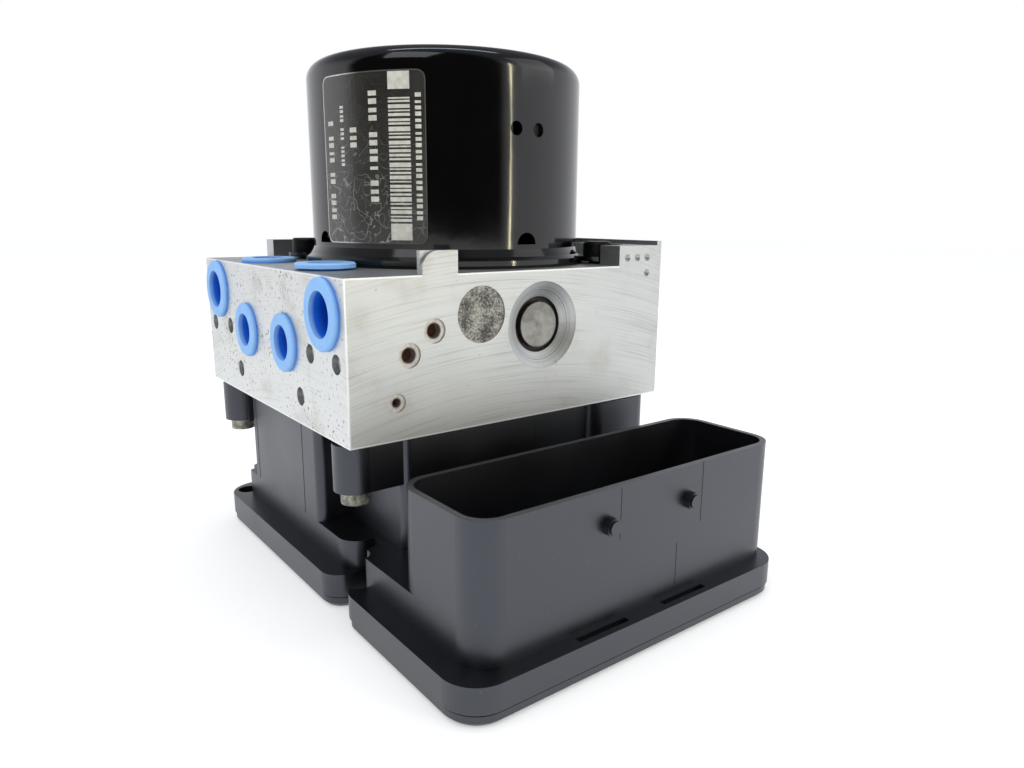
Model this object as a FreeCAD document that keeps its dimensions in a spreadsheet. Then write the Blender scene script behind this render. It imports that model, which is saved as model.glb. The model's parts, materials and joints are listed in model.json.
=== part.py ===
import FreeCAD
import Part
import Sketcher
import math
import os

# Anti-lock brake module: an aluminium valve block with a pump motor on top and the
# control unit below. Origin on the table under the motor's axis, +X to the right along
# the front face, +Y to the back, +Z up, millimetres.

DIMENSIONS = {
    # Valve block, and where the motor's axis stands on it
    "block_height": 39.0,
    "motor_to_left_face": 17.6,
    "motor_to_front_face": 8.1,
    "motor_to_right_face": 4.6,
    "motor_to_back_face": 13.1,
    # Raised lands that the milling of the block's top leaves
    "land_rise": 5.6,
    "land_width": 17.3,
    "lip_width": 1.8,
    "lip_rise": 1.2,
    "rim_depth": 4.5,
    "tab_from_left": 20.0,
    "tab_width": 9.9,
    "tab_depth": 2.5,
    "tab_face_depth": 1.2,
    "tab_corner": 4.3,
    "rib_width": 11.0,
    "rib_depth": 6.0,
    "seat_gap": 0.9,
    "ear_pocket_radius": 7.6,
    # Motor
    "motor_radius": 39.9,
    "motor_height": 55.4,
    "can_wall": 1.8,
    "can_shoulder": 4.5,
    "can_flange_width": 2.5,
    "can_flange_thickness": 1.3,
    "can_flare_height": 5.0,
    "dome_radius": 12.0,
    "dome_rise": 4.0,
    "dome_round": 1.5,
    "motor_seal_thickness": 0.8,
    "motor_seal_inset": 1.5,
    "motor_seal_outset": 1.9,
    "ear_from_can": 6.6,
    "ear_angle": -47.0,
    "ear_radius": 5.4,
    "motor_screw_radius": 2.5,
    "motor_screw_head_radius": 4.2,
    "motor_screw_head_height": 4.4,
    "lance_hole_radius": 1.8,
    "lance_hole_below_top": 19.6,
    "lance_hole_spacing": 7.3,
    "lance_slot_radius": 3.1,
    "lance_slot_height": 6.2,
    "magnet_thickness": 6.7,
    "magnet_base": 13.0,
    "magnet_below_top": 10.4,
    "magnet_gap": 7.0,
    "brush_plate_thickness": 2.6,
    "brush_plate_hole_radius": 14.0,
    "brush_width": 6.0,
    "brush_height": 5.0,
    "brush_length": 10.0,
    "brush_base": 7.5,
    "brush_gap": 0.3,
    "holder_wall": 1.2,
    "stem_radius": 4.0,
    "stem_before_motor": 9.8,
    "stem_below_block": 6.0,
    "contact_width": 0.9,
    "contact_spacing": 3.4,
    # Rotor
    "shaft_radius": 5.0,
    "shaft_top_radius": 4.0,
    "shaft_clearance": 0.15,
    "air_gap": 1.6,
    "core_base": 19.0,
    "core_below_top": 15.4,
    "slot_width": 5.0,
    "slot_depth": 13.0,
    "winding_inner_radius": 9.0,
    "winding_inset": 4.8,
    "winding_height": 4.5,
    "winding_round": 1.2,
    "slot_opening": 2.0,
    "commutator_radius": 10.0,
    "commutator_base": 5.5,
    "commutator_length": 8.8,
    "commutator_groove": 0.8,
    "eccentric_radius": 6.6,
    "eccentric_offset": 1.3,
    "eccentric_length": 10.0,
    "ring_radius": 9.5,
    "ring_length": 9.0,
    "upper_bearing_length": 5.0,
    "lower_bearing_radius": 13.0,
    "lower_bearing_length": 8.0,
    # Pump, on the axis that runs from the front face to the back face
    "pump_left_of_motor": 0.6,
    "pump_below_top": 14.7,
    "chamber_radius": 12.0,
    "chamber_below_pump": 7.9,
    "pump_shoulder": 18.0,
    "pump_bore_radius": 7.5,
    "pump_sink_radius": 11.7,
    "pump_sink_depth": 2.4,
    "pump_plug_radius": 6.2,
    "pump_plug_depth": 2.0,
    "pump_plug_length": 5.0,
    "pump_plug_groove": 1.6,
    "piston_radius": 4.2,
    "piston_length": 18.0,
    "piston_clearance": 0.3,
    "piston_fit": 0.05,
    "sleeve_bore": 5.8,
    "guide_length": 8.0,
    "pump_spring_radius": 4.6,
    "pump_spring_wire": 1.0,
    "pump_spring_turns": 3.0,
    # Low pressure accumulators, in the right face
    "accumulator_radius": 11.0,
    "accumulator_depth": 18.0,
    "accumulator_height": 14.0,
    "accumulator_from_middle": 25.0,
    "accumulator_piston_length": 8.0,
    "accumulator_piston_wall": 1.3,
    "accumulator_piston_floor": 2.5,
    "accumulator_clearance": 0.3,
    "cover_radius": 12.6,
    "cover_depth": 3.2,
    "cover_thickness": 2.0,
    "cover_rim": 2.0,
    "cover_dish": 0.8,
    "accumulator_spring_radius": 8.0,
    "accumulator_spring_wire": 1.3,
    "accumulator_spring_turns": 3.0,
    # Ports in the left face and the top, and the plastic caps pressed in them
    "large_port_radius": 6.2,
    "large_port_depth": 16.0,
    "large_port_below_top": 9.0,
    "large_port_from_edge": 11.4,
    "small_port_radius": 5.3,
    "small_port_depth": 12.0,
    "small_port_below_top": 18.8,
    "small_port_from_middle": 14.2,
    "top_port_from_left": 9.5,
    "top_port_from_middle": 20.0,
    "large_cap_radius": 8.7,
    "small_cap_radius": 7.7,
    "cap_flange": 1.3,
    "cap_wall": 0.6,
    "cap_edge": 0.35,
    "cap_length": 9.0,
    "cap_floor": 1.2,
    "cap_lift": 0.5,
    # Sealed drillings
    "side_drilling_radius": 2.4,
    "side_drilling_depth": 12.0,
    "stopper_recess": 1.0,
    "stopper_length": 4.6,
    "stopper_crown": 1.1,
    "outer_drilling_from_edge": 5.4,
    "outer_drilling_below_top": 19.9,
    "inner_drilling_from_edge": 20.3,
    "inner_drilling_below_top": 19.5,
    "low_drilling_from_edge": 27.8,
    "low_drilling_height": 7.4,
    "high_plug_from_left": 23.1,
    "high_plug_below_top": 13.4,
    "mid_plug_from_left": 16.1,
    "mid_plug_below_top": 18.7,
    "low_plug_from_left": 12.5,
    "low_plug_height": 9.3,
    "front_plug_radius": 3.05,
    "front_plug_small_radius": 2.3,
    "front_plug_wall": 1.2,
    "front_plug_length": 4.0,
    "front_plug_floor": 1.8,
    "front_plug_recess": 0.5,
    "front_drilling_length": 10.0,
    "damper_from_left": 36.9,
    "damper_below_top": 10.4,
    "damper_radius": 7.2,
    "damper_depth": 9.0,
    "damper_cover_length": 3.0,
    "damper_recess": 0.3,
    "punch_radius": 1.1,
    "punch_depth": 0.9,
    "punch_from_right": 5.9,
    "punch_below_land": 3.4,
    "punch_pitch": 4.05,
    "punch_drop": 4.5,
    # Solenoid valves, three rows of four, and their coils
    "valve_pitch_y": 24.5,
    "valve_radius": 5.0,
    "valve_to_pump": 4.2,
    "valve_collar_radius": 6.1,
    "valve_collar_depth": 1.9,
    "valve_nose": 1.4,
    "dome_share": 0.5,
    "dome_nose": 1.2,
    "inlet_dome_length": 16.6,
    "outlet_dome_length": 14.8,
    "changeover_tip_length": 2.0,
    "coil_spacing": 2.6,
    "coil_to_wall": 0.8,
    "coil_clearance": 0.2,
    "coil_top_gap": 1.8,
    "coil_flange": 1.4,
    "coil_winding_inset": 0.7,
    "sensor_from_middle": 12.3,
    "sensor_radius": 5.0,
    "sensor_depth": 11.0,
    "sensor_body_length": 14.0,
    "sensor_foot_radius": 3.0,
    # Control unit: heights above the table
    "cover_height": 2.8,
    "gasket_height": 0.5,
    "flange_top": 9.6,
    "tray_top": 17.4,
    "housing_top": 47.7,
    "shroud_top": 42.2,
    "seal_thickness": 0.6,
    # Control unit: plan, from the block's left edge and front face
    "base_left": 0.6,
    "base_past_right": 3.9,
    "base_before_front": 45.7,
    "base_inside_back": 0.6,
    "base_corner": 9.0,
    "notch_depth": 13.0,
    "notch_front": 10.5,
    "notch_back": 16.0,
    "notch_corner": 6.0,
    "cover_inset": 0.4,
    "gasket_width": 3.0,
    "cover_bevel": 1.2,
    "tray_left": 6.1,
    "tray_inset_right": 0.4,
    "ledge_width": 4.3,
    "tray_inset_back": 3.4,
    "tray_corner": 7.5,
    "tray_notch_front": 12.0,
    "tray_notch_back": 16.5,
    "shroud_back": -9.2,
    "shroud_wall": 1.6,
    "socket_floor": 14.4,
    "floor_thickness": 2.4,
    "body_left": 6.1,
    "body_inside_right": 2.9,
    "body_side_front": 34.0,
    "body_side_inside_back": 15.0,
    "body_middle_left": 16.0,
    "body_middle_inside_right": 14.0,
    "body_middle_front": 4.0,
    "body_middle_inside_back": 4.0,
    "body_corner": 2.5,
    "pillar_left_inside_right": 25.0,
    "pillar_front": 0.8,
    "pillar_inside_right": 2.6,
    "pillar_back": 16.0,
    "pillar_corner": 4.0,
    "body_wall": 2.5,
    "seal_inset": 0.8,
    "coil_room_depth": 17.6,
    "room_floor": 2.3,
    "board_room_left": 19.0,
    "board_room_inside_right": 16.5,
    "board_room_inside_back": 15.0,
    "front_room_back": 1.5,
    # Screws that hold the control unit to the block
    "boss_from_left": 5.6,
    "rear_boss_from_left": 5.9,
    "boss_from_right": 8.5,
    "boss_from_front": 10.0,
    "boss_from_back": 6.7,
    "boss_radius": 5.3,
    "boss_height": 12.0,
    "boss_gap": 1.2,
    "web_width": 9.0,
    "web_inset": 1.0,
    "screw_radius": 2.5,
    "screw_reach": 10.0,
    "screw_head_radius": 3.6,
    "screw_head_height": 3.4,
    "screw_socket_radius": 1.9,
    "screw_socket_depth": 2.0,
    "screw_head_clearance": 0.4,
    "access_radius": 3.1,
    # Connector
    "stud_radius": 2.15,
    "stud_length": 2.4,
    "stud_tip_radius": 1.7,
    "stud_tip_length": 0.6,
    "stud_first_from_left": 42.4,
    "stud_second_from_left": 69.6,
    "stud_below_top": 8.8,
    "slot_length": 15.4,
    "slot_width_y": 1.6,
    "ledge_slot_depth": 1.4,
    "ledge_slot_first": 32.1,
    "ledge_slot_second": 59.6,
    "ledge_slot_from_shroud": 1.0,
    "pin_width": 0.7,
    "pin_row_pitch": 8.0,
    "pin_top": 26.0,
    "pin_first_from_left": 14.5,
    "power_pin_gap": 7.3,
    "power_pin_inside_right": 13.0,
    "power_pin_width": 8.0,
    "power_pin_pitch": 5.6,
    # Board
    "board_height": 6.2,
    "board_thickness": 1.6,
    "board_gap": 0.3,
    "chip_height": 1.8,
    "chip_size": 14.0,
    "chip_from_room": 6.0,
    "chip_from_room_end": 6.5,
    "capacitor_radius": 5.0,
    "capacitor_gap": 4.0,
    "capacitor_from_chip": 24.0,
    # Threaded holes that hold the module in the car
    "mount_hole_radius": 3.0,
    "mount_hole_depth": 12.0,
    "mount_hole_below_top": 19.5,
    "mount_hole_from_side": 19.0,
    # Small clearances and edge breaks that several pieces share
    "end_gap": 0.8,
    "thread_spare": 1.0,
    "head_bevel": 0.6,
}

PIN_ROWS = 2
PINS_PER_ROW = 22
POWER_PINS = 3
CHIPS = 3
ROTOR_SLOTS = 10
VALVE_COLUMNS = 4
SPRING_STEPS = 10
SPRING_SIDES = 6
BODY_INNER_CORNERS = (2, 5, 8, 11)
SMALL_GAP = 0.02


class Size:
    """A number together with the expression on the sheet that it comes from."""

    def __init__(self, number, text):
        self.number = number
        self.text = text

    def __add__(self, other):
        other = sized(other)
        return Size(self.number + other.number, "(%s + %s)" % (self.text, other.text))

    def __radd__(self, other):
        return sized(other) + self

    def __sub__(self, other):
        other = sized(other)
        return Size(self.number - other.number, "(%s - %s)" % (self.text, other.text))

    def __rsub__(self, other):
        return sized(other) - self

    def __mul__(self, other):
        other = sized(other)
        return Size(self.number * other.number, "(%s * %s)" % (self.text, other.text))

    def __rmul__(self, other):
        return sized(other) * self

    def __truediv__(self, other):
        other = sized(other)
        return Size(self.number / other.number, "(%s / %s)" % (self.text, other.text))

    def __neg__(self):
        return Size(-self.number, "(0 - %s)" % self.text)


def sized(value):
    if isinstance(value, Size):
        return value
    return Size(float(value), "%.6f" % value)


def cosine(angle):
    return Size(math.cos(math.radians(angle.number)), "cos(%s)" % angle.text)


def sine(angle):
    return Size(math.sin(math.radians(angle.number)), "sin(%s)" % angle.text)


class Values:
    """Every named size, read as an attribute: block_length and so on."""


doc = FreeCAD.newDocument("brake_module")
sheet = doc.addObject("Spreadsheet::Sheet", "dimensions")
v = Values()
for row, (name, number) in enumerate(DIMENSIONS.items(), start=1):
    sheet.set("A%d" % row, name)
    sheet.set("B%d" % row, str(number))
    sheet.setAlias("B%d" % row, name)
    setattr(v, name, Size(number, "dimensions." + name))
doc.recompute()

# Motor: from the can's wall outwards to the block's faces and inwards to the rotor
can_inner = v.motor_radius - v.can_wall
can_flange_radius = v.motor_radius + v.can_flange_width
seat_radius = can_flange_radius + v.seat_gap
ear_distance = v.motor_radius + v.ear_from_can
magnet_inner_radius = can_inner - v.magnet_thickness
magnet_length = v.motor_height - v.magnet_base - v.magnet_below_top
core_radius = magnet_inner_radius - v.air_gap
core_length = v.motor_height - v.core_base - v.core_below_top
winding_outer_radius = core_radius - v.winding_inset
motor_from_left = v.motor_radius + v.motor_to_left_face
motor_from_front = v.motor_radius + v.motor_to_front_face
block_length = motor_from_left + v.motor_radius + v.motor_to_right_face
block_depth = motor_from_front + v.motor_radius + v.motor_to_back_face

# Places that several pieces share
left = -motor_from_left
right = left + block_length
front = -motor_from_front
back = front + block_depth
middle = front + block_depth / 2
block_bottom = v.housing_top + v.seal_thickness
block_top = block_bottom + v.block_height
land_top = block_top + v.land_rise
can_base = block_top + v.motor_seal_thickness
can_top = block_top + v.motor_height
pump_x = -v.pump_left_of_motor
pump_z = block_top - v.pump_below_top
housing_base = v.cover_height + v.gasket_height
boss_bottom = block_bottom - v.boss_gap - v.boss_height
ear_x = ear_distance * cosine(v.ear_angle)
ear_y = ear_distance * sine(v.ear_angle)
screw_left = left + v.boss_from_left
screw_right = right - v.boss_from_right
screw_front = front + v.boss_from_front
screw_back = back - v.boss_from_back

# Bores in the block's faces: ports and plugs hang from its top, and the motor's screws
# and the valves end short of the bores that lie across them
large_port_height = v.block_height - v.large_port_below_top
small_port_height = v.block_height - v.small_port_below_top
outer_drilling_height = v.block_height - v.outer_drilling_below_top
inner_drilling_height = v.block_height - v.inner_drilling_below_top
high_plug_height = v.block_height - v.high_plug_below_top
mid_plug_height = v.block_height - v.mid_plug_below_top
damper_height = v.block_height - v.damper_below_top
punch_height = v.block_height + v.land_rise - v.punch_below_land
mount_hole_height = v.block_height - v.mount_hole_below_top
chamber_depth = v.pump_below_top + v.chamber_below_pump
motor_screw_length = v.block_height - v.accumulator_height - v.accumulator_radius
valve_depth = v.block_height - v.pump_below_top - v.pump_bore_radius - v.valve_to_pump
large_port_from_middle = block_depth / 2 - v.large_port_from_edge
outer_drilling_from_middle = block_depth / 2 - v.outer_drilling_from_edge
inner_drilling_from_middle = block_depth / 2 - v.inner_drilling_from_edge
low_drilling_from_middle = block_depth / 2 - v.low_drilling_from_edge

# Control unit: its outlines follow the block's faces, its rooms follow its outlines
base_front = -v.base_before_front
base_right = block_length + v.base_past_right
base_back = block_depth - v.base_inside_back
tray_front = base_front + v.ledge_width
tray_right = base_right - v.tray_inset_right
tray_back = base_back - v.tray_inset_back
body_right = block_length - v.body_inside_right
body_side_back = block_depth - v.body_side_inside_back
body_middle_right = block_length - v.body_middle_inside_right
body_middle_back = block_depth - v.body_middle_inside_back
pillar_left = block_length - v.pillar_left_inside_right
pillar_right = block_length - v.pillar_inside_right
board_room_right = block_length - v.board_room_inside_right
board_room_back = block_depth - v.board_room_inside_back
coil_room_floor = v.housing_top - v.coil_room_depth
board_room_top = coil_room_floor - v.room_floor
stud_height = v.shroud_top - v.stud_below_top
power_pin_first = block_length - v.power_pin_inside_right
pin_pitch = (power_pin_first - v.power_pin_gap - v.pin_first_from_left) / (PINS_PER_ROW - 1)
board_top = v.board_height + v.board_thickness
chip_pitch = (board_room_right - v.board_room_left - v.chip_from_room - v.chip_from_room_end
              - v.chip_size) / (CHIPS - 1)
capacitor_height = board_room_top - board_top - v.capacitor_gap

# Valves: four coils fill the width of their room, evenly spaced
coil_row_start = v.body_middle_left + v.body_wall + v.coil_to_wall
coil_row_end = body_middle_right - v.body_wall - v.coil_to_wall
coil_radius = (coil_row_end - coil_row_start
               - v.coil_spacing * (VALVE_COLUMNS - 1)) / (2 * VALVE_COLUMNS)
coil_winding_radius = coil_radius - v.coil_winding_inset
valve_dome_radius = coil_radius * v.dome_share
valve_pitch_x = 2 * coil_radius + v.coil_spacing
valve_first_from_left = coil_row_start + coil_radius
stem_x = left + valve_first_from_left + valve_pitch_x / 2
stem_y = -v.stem_before_motor

X_AXIS = FreeCAD.Vector(1, 0, 0)
Y_AXIS = FreeCAD.Vector(0, 1, 0)
Z_AXIS = FreeCAD.Vector(0, 0, 1)
TURNS = {
    "up": FreeCAD.Rotation(),
    "down": FreeCAD.Rotation(X_AXIS, 180),
    "right": FreeCAD.Rotation(Y_AXIS, 90),
    "left": FreeCAD.Rotation(Y_AXIS, -90),
    "back": FreeCAD.Rotation(X_AXIS, -90),
    "front": FreeCAD.Rotation(X_AXIS, 90),
}

nodes = {}


def keep(label, thing):
    """Marks a finished piece: its label becomes the name of its file."""
    thing.Label = label
    nodes[label] = thing
    return thing


def set_size(thing, prop, value):
    thing.setExpression(prop, sized(value).text)


def place(thing, position, direction="up"):
    thing.Placement = FreeCAD.Placement(FreeCAD.Vector(), TURNS[direction])
    for axis, value in zip("xyz", position):
        set_size(thing, "Placement.Base." + axis, value)
    return thing


def box(name, low, high):
    """A box between its lowest and its highest corner."""
    thing = doc.addObject("Part::Box", name)
    for side, start, end in zip(("Length", "Width", "Height"), low, high):
        set_size(thing, side, sized(end) - start)
    return place(thing, low)


def cylinder(name, radius, length, base, direction="up"):
    thing = doc.addObject("Part::Cylinder", name)
    set_size(thing, "Radius", radius)
    set_size(thing, "Height", length)
    return place(thing, base, direction)


def cone(name, first_radius, second_radius, length, base, direction="up"):
    thing = doc.addObject("Part::Cone", name)
    set_size(thing, "Radius1", first_radius)
    set_size(thing, "Radius2", second_radius)
    set_size(thing, "Height", length)
    return place(thing, base, direction)


def fuse(name, things):
    thing = doc.addObject("Part::MultiFuse", name)
    thing.Shapes = things
    thing.Refine = True
    return thing


def cut(name, base, tools):
    thing = doc.addObject("Part::Cut", name)
    thing.Base = base
    thing.Tool = tools[0] if len(tools) == 1 else fuse(name + "_tools", tools)
    return thing


def common(name, first, second):
    thing = doc.addObject("Part::MultiCommon", name)
    thing.Shapes = [first, second]
    return thing


def origin_plane(body, role):
    return [plane for plane in body.Origin.OriginFeatures if plane.Role == role][0]


def sketch_on(body, role):
    sketch = body.newObject("Sketcher::SketchObject", body.Name + "_sketch")
    sketch.AttachmentSupport = (origin_plane(body, role), "")
    sketch.MapMode = "FlatFace"
    return sketch


def constrain(sketch, kind, place_of, value):
    """A dimension of the sketch, bound to its size on the sheet."""
    value = sized(value)
    index = sketch.addConstraint(Sketcher.Constraint(kind, *place_of, value.number))
    sketch.setExpression("Constraints[%d]" % index, value.text)


def closed_outline(sketch, corners):
    """Straight sides through the corners, each corner held by its two distances."""
    points = [FreeCAD.Vector(sized(x).number, sized(y).number, 0) for x, y in corners]
    sides = [Part.LineSegment(point, points[(index + 1) % len(points)])
             for index, point in enumerate(points)]
    sketch.addGeometry(sides)
    for index, (across, along) in enumerate(corners):
        following = (index + 1) % len(corners)
        sketch.addConstraint(Sketcher.Constraint("Coincident", index, 2, following, 1))
        if isinstance(across, Size):
            constrain(sketch, "DistanceX", (-1, 1, index, 1), across)
        else:
            sketch.addConstraint(Sketcher.Constraint("PointOnObject", index, 1, -2))
        if isinstance(along, Size):
            constrain(sketch, "DistanceY", (-1, 1, index, 1), along)
        else:
            sketch.addConstraint(Sketcher.Constraint("PointOnObject", index, 1, -1))


def rounded_outline(sketch, low, high, radius):
    """Four sides joined by four equal corner arcs."""
    west, south = (sized(value).number for value in low)
    east, north = (sized(value).number for value in high)
    bend = sized(radius).number
    centres = [(east - bend, south + bend), (east - bend, north - bend),
               (west + bend, north - bend), (west + bend, south + bend)]
    geometry = []
    for index, (x, y) in enumerate(centres):
        start = (index - 1) * math.pi / 2
        circle = Part.Circle(FreeCAD.Vector(x, y, 0), Z_AXIS, bend)
        geometry.append(Part.ArcOfCircle(circle, start, start + math.pi / 2))
    arcs = list(geometry)
    for index, arc in enumerate(arcs):
        geometry.append(Part.LineSegment(arc.EndPoint, arcs[(index + 1) % 4].StartPoint))
    sketch.addGeometry(geometry)
    for index in range(4):
        sketch.addConstraint(Sketcher.Constraint("Tangent", index, 2, index + 4, 1))
        sketch.addConstraint(Sketcher.Constraint("Tangent", index + 4, 2, (index + 1) % 4, 1))
        direction = "Vertical" if index % 2 == 0 else "Horizontal"
        sketch.addConstraint(Sketcher.Constraint(direction, index + 4))
        if index:
            sketch.addConstraint(Sketcher.Constraint("Equal", 0, index))
    constrain(sketch, "Radius", (0,), radius)
    constrain(sketch, "DistanceX", (-1, 1, 4, 1), high[0])
    constrain(sketch, "DistanceY", (-1, 1, 5, 1), high[1])
    constrain(sketch, "DistanceX", (-1, 1, 6, 1), low[0])
    constrain(sketch, "DistanceY", (-1, 1, 7, 1), low[1])


def rounded_plate(name, low, high, radius):
    """A block with rounded upright edges between two opposite corners."""
    body = doc.addObject("PartDesign::Body", name)
    sketch = sketch_on(body, "XY_Plane")
    rounded_outline(sketch, low[:2], high[:2], radius)
    pad = body.newObject("PartDesign::Pad", name + "_pad")
    pad.Profile = sketch
    set_size(pad, "Length", sized(high[2]) - low[2])
    return place(body, (sized(0), sized(0), low[2]))


def turned(name, corners, base, direction="up"):
    """A body of revolution: corners are radius and height above its base."""
    body = doc.addObject("PartDesign::Body", name)
    sketch = sketch_on(body, "XZ_Plane")
    closed_outline(sketch, corners)
    turn = body.newObject("PartDesign::Revolution", name + "_turned")
    turn.Profile = sketch
    turn.ReferenceAxis = (sketch, ["V_Axis"])
    turn.Angle = 360
    return place(body, base, direction)


def ring(name, inner, outer, length, base, direction="up"):
    corners = [(inner, 0), (outer, 0), (outer, length), (inner, length)]
    return turned(name, corners, base, direction)


def break_edges(body, name, kind, size, chosen):
    """A fillet or a chamfer on the edges of the body that the test picks."""
    doc.recompute()
    solid = body.Tip
    edges = ["Edge%d" % index for index, edge in enumerate(solid.Shape.Edges, start=1)
             if chosen(edge)]
    feature = body.newObject("PartDesign::" + kind, name)
    feature.Base = (solid, edges)
    set_size(feature, "Radius" if kind == "Fillet" else "Size", size)
    return body


def is_circle(edge, radius, height):
    """Whether the edge is the circle of this radius at this height of its body."""
    curve = edge.Curve
    return (isinstance(curve, Part.Circle)
            and abs(curve.Radius - radius.number) < SMALL_GAP
            and abs(curve.Center.z - height.number) < SMALL_GAP)


def group(label, template, offsets):
    """Copies of one piece as separate solids in one node."""
    doc.recompute()
    copies = []
    for offset in offsets:
        step = FreeCAD.Vector(*(sized(value).number for value in offset))
        copies.extend(solid.translated(step) for solid in template.Shape.Solids)
    thing = doc.addObject("Part::Feature", label)
    thing.Shape = Part.makeCompound(copies)
    return keep(label, thing)


def together(label, things):
    """Different solids that share one node."""
    doc.recompute()
    solids = [solid for thing in things for solid in thing.Shape.Solids]
    thing = doc.addObject("Part::Feature", label)
    thing.Shape = Part.makeCompound(solids)
    return keep(label, thing)


def coil_spring(name, radius, wire, length, turns, base, direction):
    """Wire along a helix in flat facets, with its two ends inside the given length."""
    radius, wire, turns = sized(radius).number, sized(wire).number, sized(turns).number
    rise = sized(length).number - wire
    steps = round(turns * SPRING_STEPS)
    rings = []
    for step in range(steps + 1):
        angle = 2 * math.pi * turns * step / steps
        outward = FreeCAD.Vector(math.cos(angle), math.sin(angle), 0)
        height = wire / 2 + rise * step / steps
        ring_points = []
        for side in range(SPRING_SIDES):
            lean = 2 * math.pi * side / SPRING_SIDES
            ring_points.append(outward * (radius + wire / 2 * math.cos(lean))
                               + Z_AXIS * (height + wire / 2 * math.sin(lean)))
        rings.append(ring_points)
    facets = [rings[0], rings[-1]]
    for near, far in zip(rings, rings[1:]):
        for side in range(SPRING_SIDES):
            following = (side + 1) % SPRING_SIDES
            facets.append([near[side], near[following], far[side]])
            facets.append([near[following], far[following], far[side]])
    faces = [Part.Face(Part.makePolygon(points + points[:1])) for points in facets]
    thing = doc.addObject("Part::Feature", name)
    thing.Shape = Part.Solid(Part.Shell(faces))
    thing.Placement = FreeCAD.Placement(
        FreeCAD.Vector(*(sized(value).number for value in base)), TURNS[direction])
    return thing


# Valve block: the milled blank with its lands, then every bore in it

VALVE_ROWS = (-1, 0, 1)
valve_places = [(left + valve_first_from_left + column * valve_pitch_x,
                 middle + line * v.valve_pitch_y)
                for line in VALVE_ROWS for column in range(VALVE_COLUMNS)]
sensor_place = (stem_x, middle + v.sensor_from_middle, block_bottom)
screw_places = [(screw_left, screw_front), (left + v.rear_boss_from_left, screw_back),
                (screw_right, screw_back), (screw_right, screw_front)]
ear_places = [(ear_x, ear_y), (-ear_x, -ear_y)]
side_drillings = [(side * offset, height) for side in (1, -1) for offset, height in (
    (outer_drilling_from_middle, outer_drilling_height),
    (inner_drilling_from_middle, inner_drilling_height),
    (low_drilling_from_middle, v.low_drilling_height))]
front_drillings = [
    (v.high_plug_from_left, high_plug_height, v.front_plug_radius),
    (v.mid_plug_from_left, mid_plug_height, v.front_plug_radius),
    (v.low_plug_from_left, v.low_plug_height, v.front_plug_small_radius)]
punch_x = right - v.punch_from_right
punch_marks = [(punch_x - step * v.punch_pitch, punch_height) for step in range(3)]
punch_marks.append((punch_x, punch_height - v.punch_drop))


def block_blank():
    tab_left = left + v.tab_from_left
    tab_right = tab_left + v.tab_width
    tab_back = front + v.tab_depth
    face_back = front + v.tab_face_depth
    corner_x = tab_left + v.tab_corner
    corner_z = land_top - v.tab_corner
    return fuse("block_blank", [
        box("block_stock", (left, front, block_bottom), (right, back, block_top)),
        box("right_land", (right - v.land_width, front, block_top), (right, back, land_top)),
        box("right_lip", (right - v.lip_width, front, land_top),
            (right, back, land_top + v.lip_rise)),
        box("back_rim", (tab_left, back - v.rim_depth, block_top),
            (right - v.land_width, back, land_top)),
        box("back_rib", (tab_left, back - v.rib_depth, block_top),
            (tab_left + v.rib_width, back, land_top)),
        box("tab_behind", (tab_left, face_back, block_top), (tab_right, tab_back, land_top)),
        box("tab_side", (tab_left, front, block_top), (tab_right, face_back, corner_z)),
        box("tab_top", (corner_x, front, block_top), (tab_right, face_back, land_top)),
        cylinder("tab_round", v.tab_corner, v.tab_face_depth, (corner_x, front, corner_z), "back"),
    ])


def motor_side_bores():
    seat_depth = v.land_rise + v.lip_rise + 1
    stem_place = (stem_x, stem_y, block_bottom)
    bores = [
        cylinder("motor_seat", seat_radius, seat_depth, (0, 0, block_top)),
        cylinder("eccentric_chamber", v.chamber_radius, chamber_depth,
                 (0, 0, block_top - chamber_depth)),
        cylinder("bearing_seat", v.lower_bearing_radius, v.lower_bearing_length,
                 (0, 0, block_top - v.lower_bearing_length)),
        cylinder("stem_bore", v.stem_radius + v.shaft_clearance, v.block_height, stem_place),
    ]
    for index, (x, y) in enumerate(ear_places):
        bores.append(cylinder("ear_pocket_%d" % index, v.ear_pocket_radius, seat_depth,
                              (x, y, block_top)))
        bores.append(cylinder("ear_thread_%d" % index, v.motor_screw_radius,
                              motor_screw_length,
                              (x, y, block_top - motor_screw_length)))
    return bores


def pump_bores():
    bores = []
    inner = v.chamber_radius / 2
    for side, face, inward in (("front", front, "back"), ("back", back, "front")):
        reach = motor_from_front if side == "front" else block_depth - motor_from_front
        bores.append(cone("pump_sink_" + side, v.pump_sink_radius, v.pump_bore_radius,
                          v.pump_sink_depth, (pump_x, face, pump_z), inward))
        bores.append(cylinder("pump_bore_" + side, v.pump_bore_radius,
                              reach - v.pump_shoulder, (pump_x, face, pump_z), inward))
        bores.append(cylinder("piston_bore_" + side, v.piston_radius + v.piston_fit,
                              reach - inner, (pump_x, face, pump_z), inward))
    return bores


def right_face_bores():
    bores = []
    for index, side in enumerate((-1, 1)):
        centre = (right, middle + side * v.accumulator_from_middle,
                  block_bottom + v.accumulator_height)
        bores.append(cylinder("accumulator_bore_%d" % index, v.accumulator_radius,
                              v.accumulator_depth, centre, "left"))
        bores.append(cylinder("accumulator_recess_%d" % index, v.cover_radius,
                              v.cover_depth, centre, "left"))
    return bores


def port_bores():
    bores = []
    for index, side in enumerate((-1, 1)):
        bores.append(cylinder("large_port_%d" % index, v.large_port_radius, v.large_port_depth,
                              (left, middle + side * large_port_from_middle,
                               block_bottom + large_port_height), "right"))
        bores.append(cylinder("small_port_%d" % index, v.small_port_radius, v.small_port_depth,
                              (left, middle + side * v.small_port_from_middle,
                               block_bottom + small_port_height), "right"))
        bores.append(cylinder("top_port_%d" % index, v.small_port_radius, v.small_port_depth,
                              (left + v.top_port_from_left,
                               middle + side * v.top_port_from_middle, block_top), "down"))
    return bores


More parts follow.
